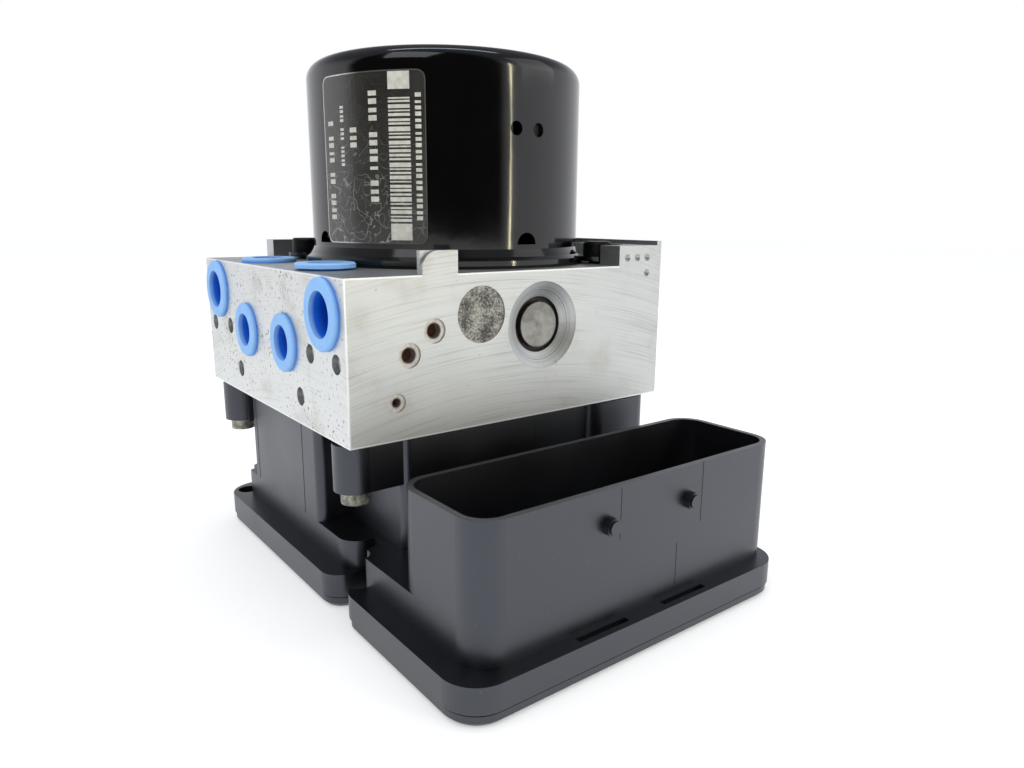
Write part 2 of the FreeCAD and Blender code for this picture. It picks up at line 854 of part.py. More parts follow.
def sealed_drillings():
    bores = []
    for index, (offset, height) in enumerate(side_drillings):
        bores.append(cylinder("side_drilling_%d" % index, v.side_drilling_radius,
                              v.side_drilling_depth,
                              (left, middle + offset, block_bottom + height), "right"))
    for index, (x, height, radius) in enumerate(front_drillings):
        centre = (left + x, front, block_bottom + height)
        bores.append(cylinder("front_plug_bore_%d" % index, radius,
                              v.front_plug_recess + v.front_plug_length, centre, "back"))
        bores.append(cylinder("front_drilling_%d" % index, radius - v.front_plug_wall,
                              v.front_drilling_length, centre, "back"))
    bores.append(cylinder("damper_bore", v.damper_radius, v.damper_depth,
                          (left + v.damper_from_left, front, block_bottom + damper_height),
                          "back"))
    for index, (x, height) in enumerate(punch_marks):
        bores.append(cone("punch_%d" % index, v.punch_radius, 0, v.punch_depth,
                          (x, front, block_bottom + height), "back"))
    return bores


def underside_bores():
    bores = []
    for index, (x, y) in enumerate(valve_places):
        bores.append(cylinder("valve_bore_%d" % index, v.valve_radius, valve_depth,
                              (x, y, block_bottom)))
        bores.append(cylinder("collar_bore_%d" % index, v.valve_collar_radius,
                              v.valve_collar_depth, (x, y, block_bottom)))
    for index, (x, y) in enumerate(screw_places):
        bores.append(cylinder("screw_thread_%d" % index, v.screw_radius, v.screw_reach,
                              (x, y, block_bottom)))
    bores.append(cylinder("sensor_bore", v.sensor_radius, v.sensor_depth, sensor_place))
    for index, x in enumerate((left + v.mount_hole_from_side, right - v.mount_hole_from_side)):
        bores.append(cylinder("mount_hole_%d" % index, v.mount_hole_radius, v.mount_hole_depth,
                              (x, back, block_bottom + mount_hole_height), "front"))
    return bores


keep("valve_block", cut("valve_block", block_blank(),
                        motor_side_bores() + pump_bores() + right_face_bores() + port_bores()
                        + sealed_drillings() + underside_bores()))


# Motor: the drawn steel can, what is fixed inside it, and its seal and screws

def motor_can():
    flange_low = v.motor_seal_thickness
    flange_high = flange_low + v.can_flange_thickness
    flare = (v.motor_radius + can_flange_radius) / 2
    dome_top = v.motor_height + v.dome_rise
    can = turned("can_shell", [
        (can_inner, flange_low), (can_flange_radius, flange_low),
        (can_flange_radius, flange_high), (flare, flange_high + v.can_wall / 2),
        (v.motor_radius, v.can_flare_height), (v.motor_radius, v.motor_height),
        (v.dome_radius, v.motor_height), (v.dome_radius, dome_top), (0, dome_top),
        (0, dome_top - v.can_wall), (v.dome_radius - v.can_wall, dome_top - v.can_wall),
        (v.dome_radius - v.can_wall, v.motor_height - v.can_wall),
        (can_inner, v.motor_height - v.can_wall)], (0, 0, block_top))
    break_edges(can, "can_shoulder_round", "Fillet", v.can_shoulder,
                lambda edge: is_circle(edge, v.motor_radius, v.motor_height))
    break_edges(can, "can_inner_round", "Fillet", v.can_shoulder - v.can_wall,
                lambda edge: is_circle(edge, can_inner, v.motor_height - v.can_wall))
    break_edges(can, "can_dome_round", "Fillet", v.dome_round,
                lambda edge: is_circle(edge, v.dome_radius, dome_top))
    ears = []
    holes = [cylinder("can_hollow", can_inner, v.motor_height / 2, (0, 0, block_top))]
    for index, (x, y) in enumerate(ear_places):
        ears.append(cylinder("ear_%d" % index, v.ear_radius, v.can_flange_thickness,
                             (x, y, can_base)))
        holes.append(cylinder("ear_hole_%d" % index, v.motor_screw_radius,
                              v.motor_height / 2, (x, y, block_top)))
    half_pair = v.lance_hole_spacing / 2
    for index, x in enumerate((-half_pair, half_pair)):
        holes.append(cylinder("lance_hole_%d" % index, v.lance_hole_radius,
                              2 * v.can_wall + v.lance_hole_radius,
                              (x, -v.motor_radius - v.can_wall, can_top - v.lance_hole_below_top),
                              "back"))
    slot_z = block_top + v.lance_slot_height
    reach = v.motor_radius + v.can_wall
    start = can_inner - v.can_wall
    for direction, base in (("back", (0, start, slot_z)), ("front", (0, -start, slot_z)),
                            ("left", (-start, 0, slot_z)), ("right", (start, 0, slot_z))):
        holes.append(common("lance_slot_" + direction,
                            cylinder("lance_round_" + direction, v.lance_slot_radius,
                                     3 * v.can_wall, base, direction),
                            box("lance_flat_" + direction, (-reach, -reach, slot_z),
                                (reach, reach, slot_z + v.lance_slot_radius))))
    return cut("motor_can", fuse("can_with_ears", [can] + ears), holes)


keep("motor_can", motor_can())
keep("motor_seal", ring("motor_seal", v.motor_radius - v.motor_seal_inset,
                        v.motor_radius + v.motor_seal_outset, v.motor_seal_thickness,
                        (0, 0, block_top)))


def motor_magnets():
    base = block_top + v.magnet_base
    shell = ring("magnet_ring", magnet_inner_radius, can_inner, magnet_length, (0, 0, base))
    half = v.magnet_gap / 2
    reach = v.motor_radius
    gaps = [box("magnet_gap_x", (-reach, -half, base), (reach, half, base + magnet_length)),
            box("magnet_gap_y", (-half, -reach, base), (half, reach, base + magnet_length))]
    return cut("motor_magnets", shell, gaps)


keep("motor_magnets", motor_magnets())


def brush_box(name, side, grow):
    """The space of one brush, or of its holder where it is larger all round."""
    start = v.commutator_radius + v.brush_gap
    across = v.brush_width / 2 + grow
    low_z = block_top + v.brush_base
    ends = sorted((side * (start + grow), side * (start + v.brush_length)),
                  key=lambda value: value.number)
    return box(name, (ends[0], -across, low_z - grow),
               (ends[1], across, low_z + v.brush_height + grow))


def brush_plate():
    plate_top = can_base + v.brush_plate_thickness
    disc = ring("brush_disc", v.brush_plate_hole_radius, can_inner - v.shaft_clearance,
                v.brush_plate_thickness, (0, 0, can_base))
    stem_base = block_bottom - v.stem_below_block
    pieces = [disc, cylinder("stem", v.stem_radius, plate_top - stem_base,
                             (stem_x, stem_y, stem_base))]
    brushes = []
    for index, side in enumerate((-1, 1)):
        near = v.brush_plate_hole_radius
        far = v.commutator_radius + v.brush_gap + v.brush_length
        pieces.append(brush_box("holder_%d" % index, side, v.holder_wall))
        ends = sorted((side * near, side * far), key=lambda value: value.number)
        pieces.append(box("holder_foot_%d" % index, (ends[0], -v.brush_width / 2, can_base),
                          (ends[1], v.brush_width / 2, block_top + v.brush_base)))
        brushes.append(brush_box("brush_space_%d" % index, side, sized(0)))
    return cut("brush_plate", fuse("brush_plate_solid", pieces), brushes)


keep("brush_plate", brush_plate())
together("motor_brushes", [brush_box("brush_%d" % index, side, sized(0))
                           for index, side in enumerate((-1, 1))])

contact_low = (stem_x - v.contact_spacing / 2 - v.contact_width / 2,
               stem_y - v.contact_width / 2, coil_room_floor)
contact = box("motor_contact", contact_low,
              (contact_low[0] + v.contact_width, contact_low[1] + v.contact_width,
               block_bottom - v.stem_below_block))
group("motor_contacts", contact, [(0, 0, 0), (v.contact_spacing, 0, 0)])

under_head = v.motor_seal_thickness + v.can_flange_thickness
head_top = under_head + v.motor_screw_head_height
motor_screw = turned("motor_screw", [
    (0, v.thread_spare - motor_screw_length),
    (v.motor_screw_radius, v.thread_spare - motor_screw_length),
    (v.motor_screw_radius, under_head), (v.motor_screw_head_radius, under_head),
    (v.motor_screw_head_radius, head_top - v.head_bevel),
    (v.motor_screw_head_radius - v.head_bevel, head_top), (0, head_top)], (0, 0, block_top))
group("motor_screws", motor_screw, [(x, y, 0) for x, y in ear_places])


# Rotor: shaft with its eccentric journal, the ring on it, core, windings and commutator

dome_inside = block_top + v.motor_height + v.dome_rise - v.can_wall
chamber_floor = block_top - chamber_depth
journal_base = pump_z - v.eccentric_length / 2
core_base = block_top + v.core_base
core_top = core_base + core_length
keep("upper_bearing", ring("upper_bearing", v.shaft_top_radius + v.shaft_clearance,
                           v.dome_radius - v.can_wall, v.upper_bearing_length,
                           (0, 0, dome_inside - v.upper_bearing_length)))
keep("lower_bearing", ring("lower_bearing", v.shaft_radius + v.shaft_clearance,
                           v.lower_bearing_radius, v.lower_bearing_length,
                           (0, 0, block_top - v.lower_bearing_length)))
keep("rotor_shaft", fuse("rotor_shaft", [
    turned("straight_shaft", [
        (0, v.end_gap), (v.shaft_top_radius, v.end_gap),
        (v.shaft_top_radius, journal_base - chamber_floor),
        (v.shaft_radius, journal_base - chamber_floor), (v.shaft_radius, core_top - chamber_floor),
        (v.shaft_top_radius, core_top - chamber_floor + v.winding_height),
        (v.shaft_top_radius, dome_inside - chamber_floor - v.end_gap),
        (0, dome_inside - chamber_floor - v.end_gap)], (0, 0, chamber_floor)),
    cylinder("eccentric_journal", v.eccentric_radius, v.eccentric_length,
             (v.eccentric_offset, 0, journal_base))]))
keep("eccentric_bearing", ring("eccentric_bearing", v.eccentric_radius, v.ring_radius,
                               v.ring_length,
                               (v.eccentric_offset, 0, pump_z - v.ring_length / 2)))


def spokes(name, count, near, far, width, low_z, high_z):
    """Radial bars about the motor's axis, used to cut evenly spaced slots."""
    bars = []
    for index in range(count):
        bar = doc.addObject("Part::Box", "%s_%d" % (name, index))
        set_size(bar, "Length", far - near)
        set_size(bar, "Width", width)
        set_size(bar, "Height", high_z - low_z)
        angle = 360.0 * index / count
        bar.Placement = FreeCAD.Placement(FreeCAD.Vector(), FreeCAD.Rotation(Z_AXIS, angle))
        turn = sized(angle)
        set_size(bar, "Placement.Base.x", near * cosine(turn) + width / 2 * sine(turn))
        set_size(bar, "Placement.Base.y", near * sine(turn) - width / 2 * cosine(turn))
        set_size(bar, "Placement.Base.z", low_z)
        bars.append(bar)
    return bars


keep("rotor_core", cut("rotor_core",
                       ring("core_blank", v.shaft_radius, core_radius, core_length,
                            (0, 0, core_base)),
                       spokes("core_slot", ROTOR_SLOTS, core_radius - v.slot_depth,
                              core_radius + v.slot_width, v.slot_width, core_base, core_top)))


def windings():
    """The copper in every slot, and the two end turns that join it above and below."""
    bars = spokes("slot_copper", ROTOR_SLOTS, core_radius - v.slot_depth,
                  core_radius - v.slot_opening, v.slot_width, core_base, core_top)
    inner, outer, round_off = v.winding_inner_radius, winding_outer_radius, v.winding_round
    ends = [turned("end_turns_" + direction, [
        (inner, 0), (outer, 0), (outer, v.winding_height - round_off),
        (outer - round_off, v.winding_height), (inner + round_off, v.winding_height),
        (inner, v.winding_height - round_off)], (0, 0, base), direction)
        for direction, base in (("up", core_top), ("down", core_base))]
    return fuse("rotor_windings", bars + ends)


keep("rotor_windings", windings())
keep("commutator", cut("commutator",
                       ring("commutator_blank", v.shaft_radius, v.commutator_radius,
                            v.commutator_length, (0, 0, block_top + v.commutator_base)),
                       spokes("commutator_gap", ROTOR_SLOTS,
                              v.commutator_radius - v.commutator_groove,
                              v.commutator_radius + v.commutator_groove, v.commutator_groove,
                              block_top + v.commutator_base,
                              block_top + v.commutator_base + v.commutator_length)))


# Pumps: one in front of the eccentric and one behind it, measured out from the motor's axis

def pump_pieces():
    plugs, sleeves, pistons, springs = [], [], [], []
    piston_start = v.ring_radius + v.eccentric_offset + v.piston_clearance
    piston_end = piston_start + v.piston_length
    for side, reach in (("front", motor_from_front), ("back", block_depth - motor_from_front)):
        base = (pump_x, 0, pump_z)
        outer_face = reach - v.pump_plug_depth
        inner_face = outer_face - v.pump_plug_length
        groove = outer_face - v.pump_plug_groove
        guide = v.pump_shoulder + v.guide_length
        plugs.append(turned("pump_plug_" + side, [
            (0, inner_face), (v.pump_bore_radius, inner_face), (v.pump_bore_radius, groove),
            (v.pump_plug_radius, groove), (v.pump_plug_radius, outer_face), (0, outer_face)],
            base, side))
        sleeves.append(turned("pump_sleeve_" + side, [
            (v.piston_radius + v.piston_fit, v.pump_shoulder),
            (v.pump_bore_radius, v.pump_shoulder), (v.pump_bore_radius, inner_face),
            (v.sleeve_bore, inner_face), (v.sleeve_bore, guide),
            (v.piston_radius + v.piston_fit, guide)], base, side))
        pistons.append(turned("pump_piston_" + side, [
            (0, piston_start), (v.piston_radius - v.head_bevel, piston_start),
            (v.piston_radius, piston_start + v.head_bevel), (v.piston_radius, guide),
            (v.sleeve_bore - v.piston_fit, guide), (v.sleeve_bore - v.piston_fit, piston_end),
            (0, piston_end)], base, side))
        away = -1 if side == "front" else 1
        springs.append(coil_spring("pump_spring_" + side, v.pump_spring_radius,
                                   v.pump_spring_wire, inner_face - piston_end,
                                   v.pump_spring_turns, (pump_x, away * piston_end, pump_z), side))
    together("pump_plugs", plugs)
    together("pump_sleeves", sleeves)
    together("pump_pistons", pistons)
    together("pump_springs", springs)


pump_pieces()


# Low pressure accumulators in the right face: piston, spring and cover

def accumulator(name, side):
    y = middle + side * v.accumulator_from_middle
    z = block_bottom + v.accumulator_height
    radius = v.accumulator_radius - v.accumulator_clearance
    hollow = radius - v.accumulator_piston_wall
    length, floor = v.accumulator_piston_length, v.accumulator_piston_floor
    start = right - v.accumulator_depth + v.accumulator_clearance
    keep("accumulator_piston_" + name, turned("accumulator_piston_" + name, [
        (0, 0), (radius - v.head_bevel, 0), (radius, v.head_bevel), (radius, length),
        (hollow, length), (hollow, floor), (0, floor)], (start, y, z), "right"))
    keep("accumulator_spring_" + name, coil_spring(
        "accumulator_spring_" + name, v.accumulator_spring_radius, v.accumulator_spring_wire,
        right - v.cover_depth - start - floor, v.accumulator_spring_turns,
        (start + floor, y, z), "right"))
    return turned("accumulator_cover_" + name, [
        (0, 0), (v.cover_radius, 0), (v.cover_radius, v.cover_thickness),
        (v.cover_radius - v.cover_rim, v.cover_thickness),
        (v.cover_radius - v.cover_rim, v.cover_thickness - v.cover_dish),
        (0, v.cover_thickness - v.cover_dish)], (right - v.cover_depth, y, z), "right")


together("accumulator_covers", [accumulator("front", -1), accumulator("rear", 1)])


# Caps of the six ports, and what seals the cross drillings

def port_cap(name, port_radius, cap_radius, base, direction):
    """A hollow cap: the flange lies on the face and the cup is pressed in the port."""
    opening = port_radius - v.cap_wall
    edge = v.cap_edge
    return turned(name, [
        (opening, -v.cap_flange), (cap_radius - edge, -v.cap_flange),
        (cap_radius, edge - v.cap_flange), (cap_radius, 0), (port_radius, 0),
        (port_radius, v.cap_length), (0, v.cap_length), (0, v.cap_length - v.cap_floor),
        (opening, v.cap_length - v.cap_floor)], base, direction)


together("large_port_caps", [
    port_cap("large_cap_%d" % index, v.large_port_radius, v.large_cap_radius,
             (left, middle + side * large_port_from_middle, block_bottom + large_port_height),
             "right") for index, side in enumerate((-1, 1))])
side_caps = [
    port_cap("side_cap_%d" % index, v.small_port_radius, v.small_cap_radius,
             (left, middle + side * v.small_port_from_middle, block_bottom + small_port_height),
             "right") for index, side in enumerate((-1, 1))]
top_caps = [
    port_cap("top_cap_%d" % index, v.small_port_radius, v.small_cap_radius,
             (left + v.top_port_from_left, middle + side * v.top_port_from_middle,
              block_top + lift), "down")
    for index, (side, lift) in enumerate(((-1, v.cap_lift), (1, 0)))]
together("small_port_caps", side_caps + top_caps)


def drilling_stoppers():
    """Pressed-in stoppers with domed ends, one in each drilling of the left face."""
    radius, crown = v.side_drilling_radius, v.stopper_crown
    stopper = turned("drilling_stopper", [
        (0, 0), (radius - crown, 0), (radius, crown), (radius, v.stopper_length - crown),
        (radius - crown, v.stopper_length), (0, v.stopper_length)],
        (left + v.stopper_recess, middle, block_bottom), "right")
    return group("drilling_stoppers", stopper,
                 [(0, offset, height) for offset, height in side_drillings])


drilling_stoppers()


def drilling_plug(name, x, height, radius):
    hollow = radius - v.front_plug_wall
    return turned(name, [
        (hollow, 0), (radius, 0), (radius, v.front_plug_length), (0, v.front_plug_length),
        (0, v.front_plug_floor), (hollow, v.front_plug_floor)],
        (left + x, front + v.front_plug_recess, block_bottom + height), "back")


together("drilling_plugs", [drilling_plug("drilling_plug_%d" % index, *values)
                            for index, values in enumerate(front_drillings)])
keep("damper_cover", cylinder("damper_cover", v.damper_radius, v.damper_cover_length,
                              (left + v.damper_from_left, front + v.damper_recess,
                               block_bottom + damper_height), "back"))


# Solenoid valves under the block, one kind in each row, and their coils

def valve(name, dome_length, tip_length):
    dome_end = tip_length - dome_length
    return turned(name, [
        (0, valve_depth - v.end_gap), (v.valve_radius - v.valve_nose, valve_depth - v.end_gap),
        (v.valve_radius, valve_depth - v.end_gap - v.valve_nose),
        (v.valve_radius, v.valve_collar_depth), (v.valve_collar_radius, v.valve_collar_depth),
        (v.valve_collar_radius, 0), (valve_dome_radius, 0), (valve_dome_radius, dome_end),
        (valve_dome_radius - v.dome_nose, -dome_length), (0, -dome_length)],
        (0, 0, block_bottom))


valve_kinds = (("inlet_valves", v.inlet_dome_length, v.dome_nose),
               ("changeover_valves", v.inlet_dome_length, v.changeover_tip_length),
               ("outlet_valves", v.outlet_dome_length, v.dome_nose))
for row, (label, dome_length, tip_length) in enumerate(valve_kinds):
    row_places = valve_places[row * VALVE_COLUMNS:(row + 1) * VALVE_COLUMNS]
    group(label, valve(label + "_template", dome_length, tip_length),
          [(x, y, 0) for x, y in row_places])

coil_height = block_bottom - v.coil_top_gap - coil_room_floor
coil_hole = valve_dome_radius + v.coil_clearance
coil = turned("valve_coil", [
    (coil_hole, 0), (coil_radius, 0), (coil_radius, v.coil_flange),
    (coil_winding_radius, v.coil_flange), (coil_winding_radius, coil_height - v.coil_flange),
    (coil_radius, coil_height - v.coil_flange), (coil_radius, coil_height),
    (coil_hole, coil_height)], (0, 0, coil_room_floor))
group("valve_coils", coil, [(x, y, 0) for x, y in valve_places])

keep("pressure_sensor", turned("pressure_sensor", [
    (0, v.sensor_depth), (v.sensor_radius, v.sensor_depth),
    (v.sensor_radius, -v.sensor_body_length), (v.sensor_foot_radius, -v.sensor_body_length),
    (v.sensor_foot_radius, coil_room_floor - block_bottom),
    (0, coil_room_floor - block_bottom)], sensor_place))


# Control unit: housing with its connector, cover, gasket, seal, board and pins

def outline_plate(name, corners, low_z, high_z):
    """A plate that follows corners given from the block's left edge and front face."""
    body = doc.addObject("PartDesign::Body", name)
    closed_outline(sketch_on(body, "XY_Plane"), [(left + x, front + y) for x, y in corners])
    pad = body.newObject("PartDesign::Pad", name + "_pad")
    pad.Profile = body.Group[0]
    set_size(pad, "Length", sized(high_z) - low_z)
    return place(body, (sized(0), sized(0), low_z))


def round_upright(body, name, radius, corners):
    """Rounds the upright edges at the given corners of a plate."""
    wanted = [((left + x).number, (front + y).number) for x, y in corners]

    def chosen(edge):
        ends = [vertex.Point for vertex in edge.Vertexes]
        upright = len(ends) == 2 and (ends[0] - ends[1]).cross(Z_AXIS).Length < SMALL_GAP
        return upright and any(abs(ends[0].x - x) + abs(ends[0].y - y) < SMALL_GAP
                               for x, y in wanted)

    return break_edges(body, name, "Fillet", radius, chosen)


def notched_plate(name, low, high, notch, radius, low_z, high_z):
    """The plan of cover, flange and tray: a rectangle with the screw notch at its left."""
    (west, south), (east, north) = low, high
    notch_front, notch_back, notch_end = notch
    outside = [(west, south), (east, south), (east, north), (west, north)]
    mouth = [(west, notch_back), (west, notch_front)]
    corners = outside + [mouth[0], (notch_end, notch_back), (notch_end, notch_front), mouth[1]]
    plate = outline_plate(name, corners, low_z, high_z)
    round_upright(plate, name + "_corners", radius, outside)
    return round_upright(plate, name + "_mouth", v.notch_corner, mouth)


def base_plate(name, inset, low_z, high_z):
    return notched_plate(name, (v.base_left + inset, base_front + inset),
                         (base_right - inset, base_back - inset),
                         (v.notch_front - inset, v.notch_back + inset,
                          v.base_left + v.notch_depth + inset),
                         v.base_corner - inset, low_z, high_z)


def body_outline(inset):
    """Corners of the raised body, which is narrower in front and behind."""
    west, east = v.body_left + inset, body_right - inset
    inner_west, inner_east = v.body_middle_left + inset, body_middle_right - inset
    south, north = v.body_middle_front + inset, body_middle_back - inset
    side_south, side_north = v.body_side_front + inset, body_side_back - inset
    return [(inner_west, south), (inner_east, south), (inner_east, side_south),
            (east, side_south), (east, side_north), (inner_east, side_north),
            (inner_east, north), (inner_west, north), (inner_west, side_north),
            (west, side_north), (west, side_south), (inner_west, side_south)]


def access_holes(name, low_z, high_z):
    return [cylinder("%s_access_%d" % (name, index), v.access_radius, sized(high_z) - low_z,
                     (x, y, low_z)) for index, (x, y) in enumerate(screw_places)]


def rooms(name, low_z, high_z, spread=0):
    """The space for the board: wide under the connector, narrower behind it."""
    near = v.body_wall - spread
    south = front + tray_front + near
    return [box(name + "_front", (left + v.tray_left + near, south, low_z),
                (left + tray_right - near, front + v.front_room_back + spread, high_z)),
            box(name + "_rear", (left + v.board_room_left - spread, south, low_z),
                (left + board_room_right + spread, front + board_room_back + spread, high_z))]


def signal_pins():
    """Every pin stands on the board and reaches up through the floor of the socket."""
    half = v.pin_width / 2
    centre_y = front + (tray_front + v.shroud_back) / 2
    x = left + v.pin_first_from_left
    y = centre_y - v.pin_row_pitch * (PIN_ROWS - 1) / 2
    pin = box("signal_pin", (x - half, y - half, board_top), (x + half, y + half, v.pin_top))
    return group("signal_pins", pin, [(column * pin_pitch, line * v.pin_row_pitch, 0)
                                      for line in range(PIN_ROWS)
                                      for column in range(PINS_PER_ROW)])


def power_pins():
    half = v.pin_width / 2
    centre_y = front + (tray_front + v.shroud_back) / 2
    x = left + power_pin_first
    blade = box("power_pin", (x - half, centre_y - v.power_pin_width / 2, board_top),
                (x + half, centre_y + v.power_pin_width / 2, v.pin_top))
    return group("power_pins", blade, [(column * v.power_pin_pitch, 0, 0)
                                       for column in range(POWER_PINS)])


def housing_screw_bosses():
    """A boss under each screw hole, tied to the body by a web."""
    pieces = []
    top = block_bottom - v.boss_gap
    for index, (x, y) in enumerate(screw_places):
        pieces.append(cylinder("boss_%d" % index, v.boss_radius, v.boss_height,
                               (x, y, boss_bottom)))
    inner_west = left + v.body_middle_left + v.body_wall / 2
    inner_east = left + body_middle_right - v.body_wall / 2
    front_web = (front + v.body_middle_front + v.web_inset,
                 front + v.body_middle_front + v.web_inset + v.web_width)
    rear_web = (front + body_middle_back - v.web_inset - v.web_width,
                front + body_middle_back - v.web_inset)
    for name, (south, north) in (("front", front_web), ("rear", rear_web)):
        pieces.append(box("web_left_" + name, (screw_left, south, boss_bottom),
                          (inner_west, north, top)))
        pieces.append(box("web_right_" + name, (inner_east, south, boss_bottom),
                          (screw_right, north, top)))
    return pieces


def connector_studs():
    studs = []
    for index, x in enumerate((v.stud_first_from_left, v.stud_second_from_left)):
        studs.append(turned("stud_%d" % index, [
            (0, -v.shroud_wall / 2), (v.stud_radius, -v.shroud_wall / 2),
            (v.stud_radius, v.stud_length - v.stud_tip_length),
            (v.stud_tip_radius, v.stud_length - v.stud_tip_length),
            (v.stud_tip_radius, v.stud_length), (0, v.stud_length)],
            (left + x, front + tray_front, stud_height), "front"))
    return studs


def ledge_slots():
    """The two shallow slots in the ledge in front of the connector."""
    north = front + tray_front - v.ledge_slot_from_shroud
    slots = []
    for index, x in enumerate((v.ledge_slot_first, v.ledge_slot_second)):
        slots.append(box("ledge_slot_%d" % index,
                         (left + x, north - v.slot_width_y, v.flange_top - v.ledge_slot_depth),
                         (left + x + v.slot_length, north, v.flange_top + v.ledge_slot_depth)))
    return slots


def ecu_housing():
    wall = v.body_wall
    raised = outline_plate("raised_body", body_outline(0), v.tray_top - wall, v.housing_top)
    round_upright(raised, "raised_body_corners", v.body_corner,
                  [corner for index, corner in enumerate(body_outline(0)) if index not in
                   BODY_INNER_CORNERS])
    solids = [
        base_plate("flange", sized(0), housing_base, v.flange_top),
        notched_plate("tray", (v.tray_left, tray_front), (tray_right, tray_back),
                      (v.tray_notch_front, v.tray_notch_back, v.base_left + v.notch_depth),
                      v.tray_corner, v.flange_top - wall, v.tray_top),
        raised,
        rounded_plate("shroud", (left + v.tray_left, front + tray_front, v.flange_top),
                      (left + tray_right, front + v.shroud_back, v.shroud_top),
                      v.tray_corner),
        rounded_plate("pillar", (left + pillar_left, front + v.pillar_front, v.tray_top - wall),
                      (left + pillar_right, front + v.pillar_back, v.housing_top),
                      v.pillar_corner),
    ] + housing_screw_bosses() + connector_studs()
    socket_low = (left + v.tray_left + v.shroud_wall, front + tray_front + v.shroud_wall,
                  v.socket_floor)
    socket_high = (left + tray_right - v.shroud_wall, front + v.shroud_back - v.shroud_wall,
                   v.shroud_top + wall)
    ceiling = v.socket_floor - v.floor_thickness
    hollows = [
        rounded_plate("socket_hollow", socket_low, socket_high, v.tray_corner - v.shroud_wall),
        outline_plate("coil_room", body_outline(wall), coil_room_floor, v.housing_top + wall),
        box("board_room_top",
            (left + v.board_room_left, front + v.body_middle_front + wall, housing_base),
            (left + board_room_right, front + board_room_back, board_room_top)),
        nodes["signal_pins"], nodes["power_pins"],
    ] + rooms("board_room", housing_base - wall, ceiling) + ledge_slots()
    for index, (x, y) in enumerate(screw_places):
        hollows.append(cylinder("screw_access_%d" % index, v.access_radius,
                                boss_bottom - v.cover_height, (x, y, v.cover_height)))
        hollows.append(cylinder("head_pocket_%d" % index,
                                v.screw_head_radius + v.screw_head_clearance,
                                boss_bottom - v.tray_top, (x, y, v.tray_top)))
        hollows.append(cylinder("screw_hole_%d" % index, v.screw_radius, v.block_height,
                                (x, y, boss_bottom - wall)))
    return cut("ecu_housing", fuse("housing_solid", solids), hollows)


def ecu_cover():
    plate = base_plate("cover_plate", v.cover_inset, 0, v.cover_height)
    break_edges(plate, "cover_bevel_edge", "Chamfer", v.cover_bevel,
                lambda edge: edge.BoundBox.ZMax < SMALL_GAP)
    return cut("ecu_cover", plate, access_holes("cover", -v.cover_height, v.cover_height * 2))


def cover_gasket():
    """A bead of even width that runs round the board's space."""
    outside = rooms("gasket_outside", v.cover_height, housing_base, v.gasket_width)
    return cut("cover_gasket", fuse("gasket_plate", outside),
               rooms("gasket_room", sized(0), v.flange_top))


def housing_seal():
    outside = outline_plate("seal_outside", body_outline(v.seal_inset), v.housing_top, block_bottom)
    inside = outline_plate("seal_inside", body_outline(v.body_wall), coil_room_floor,
                           block_top)
    return cut("housing_seal", outside, [inside])


def circuit_board():
    gap = v.body_wall + v.board_gap
    wide = box("board_front", (left + v.tray_left + gap, front + tray_front + gap, v.board_height),
               (left + tray_right - gap, front + v.front_room_back - v.board_gap, board_top))
    deep = box("board_rear", (left + v.board_room_left + v.board_gap, front + tray_front + gap,
                              v.board_height),
               (left + board_room_right - v.board_gap, front + board_room_back - v.board_gap,
                board_top))
    return fuse("circuit_board", [wide, deep])


def board_components():
    """Processor, valve driver and motor driver, and the two supply capacitors."""
    x, y = left + v.board_room_left, front + v.body_middle_front
    chips = []
    for index in range(CHIPS):
        low_x = x + v.chip_from_room + index * chip_pitch
        low_y = y + v.chip_from_room
        chips.append(box("chip_%d" % index, (low_x, low_y, board_top),
                         (low_x + v.chip_size, low_y + v.chip_size, board_top + v.chip_height)))
        chips.append(cylinder("capacitor_%d" % index, v.capacitor_radius, capacitor_height,
                              (low_x + v.chip_size / 2, low_y + v.capacitor_from_chip,
                               board_top)))
    return together("board_components", chips)


signal_pins()
power_pins()
keep("ecu_housing", ecu_housing())
keep("ecu_cover", ecu_cover())
keep("cover_gasket", cover_gasket())
keep("housing_seal", housing_seal())
keep("circuit_board", circuit_board())
board_components()

screw_top = v.boss_height + v.boss_gap + v.screw_reach - v.thread_spare
housing_screw = turned("housing_screw", [
    (v.screw_socket_radius, -v.screw_head_height), (v.screw_head_radius, -v.screw_head_height),
    (v.screw_head_radius, 0), (v.screw_radius, 0), (v.screw_radius, screw_top),
    (0, screw_top), (0, v.screw_socket_depth - v.screw_head_height),
    (v.screw_socket_radius, v.screw_socket_depth - v.screw_head_height)], (0, 0, boss_bottom))
group("housing_screws", housing_screw, [(x, y, 0) for x, y in screw_places])


# Build, check and export

doc.recompute()
for thing in doc.Objects:
    if "Invalid" in thing.State or "Error" in thing.State:
        raise RuntimeError("%s does not build: %s" % (thing.Name, thing.State))
os.makedirs("parts", exist_ok=True)
for label, thing in nodes.items():
    if thing.Shape.isNull() or not thing.Shape.isValid() or not thing.Shape.Solids:
        raise RuntimeError("%s has no valid solid" % label)
    thing.Shape.exportStep("parts/%s.step" % label)
print("%d nodes, %d objects" % (len(nodes), len(doc.Objects)))
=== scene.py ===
# %% [markdown]
# This notebook dresses an anti-lock brake module: an aluminium valve block with a black
# pump motor on top and a plastic control unit below. The solids come from CAD and stay
# where they are. Blender adds every finish, a label with plain bars and fine mould lines.
# A trimmed copy stands for the cover's gasket, and two springs get copies of their own.

# %% Load the imported model as a fixed frame
import bmesh
import bpy
import json
import math
from mathutils import Matrix, Vector


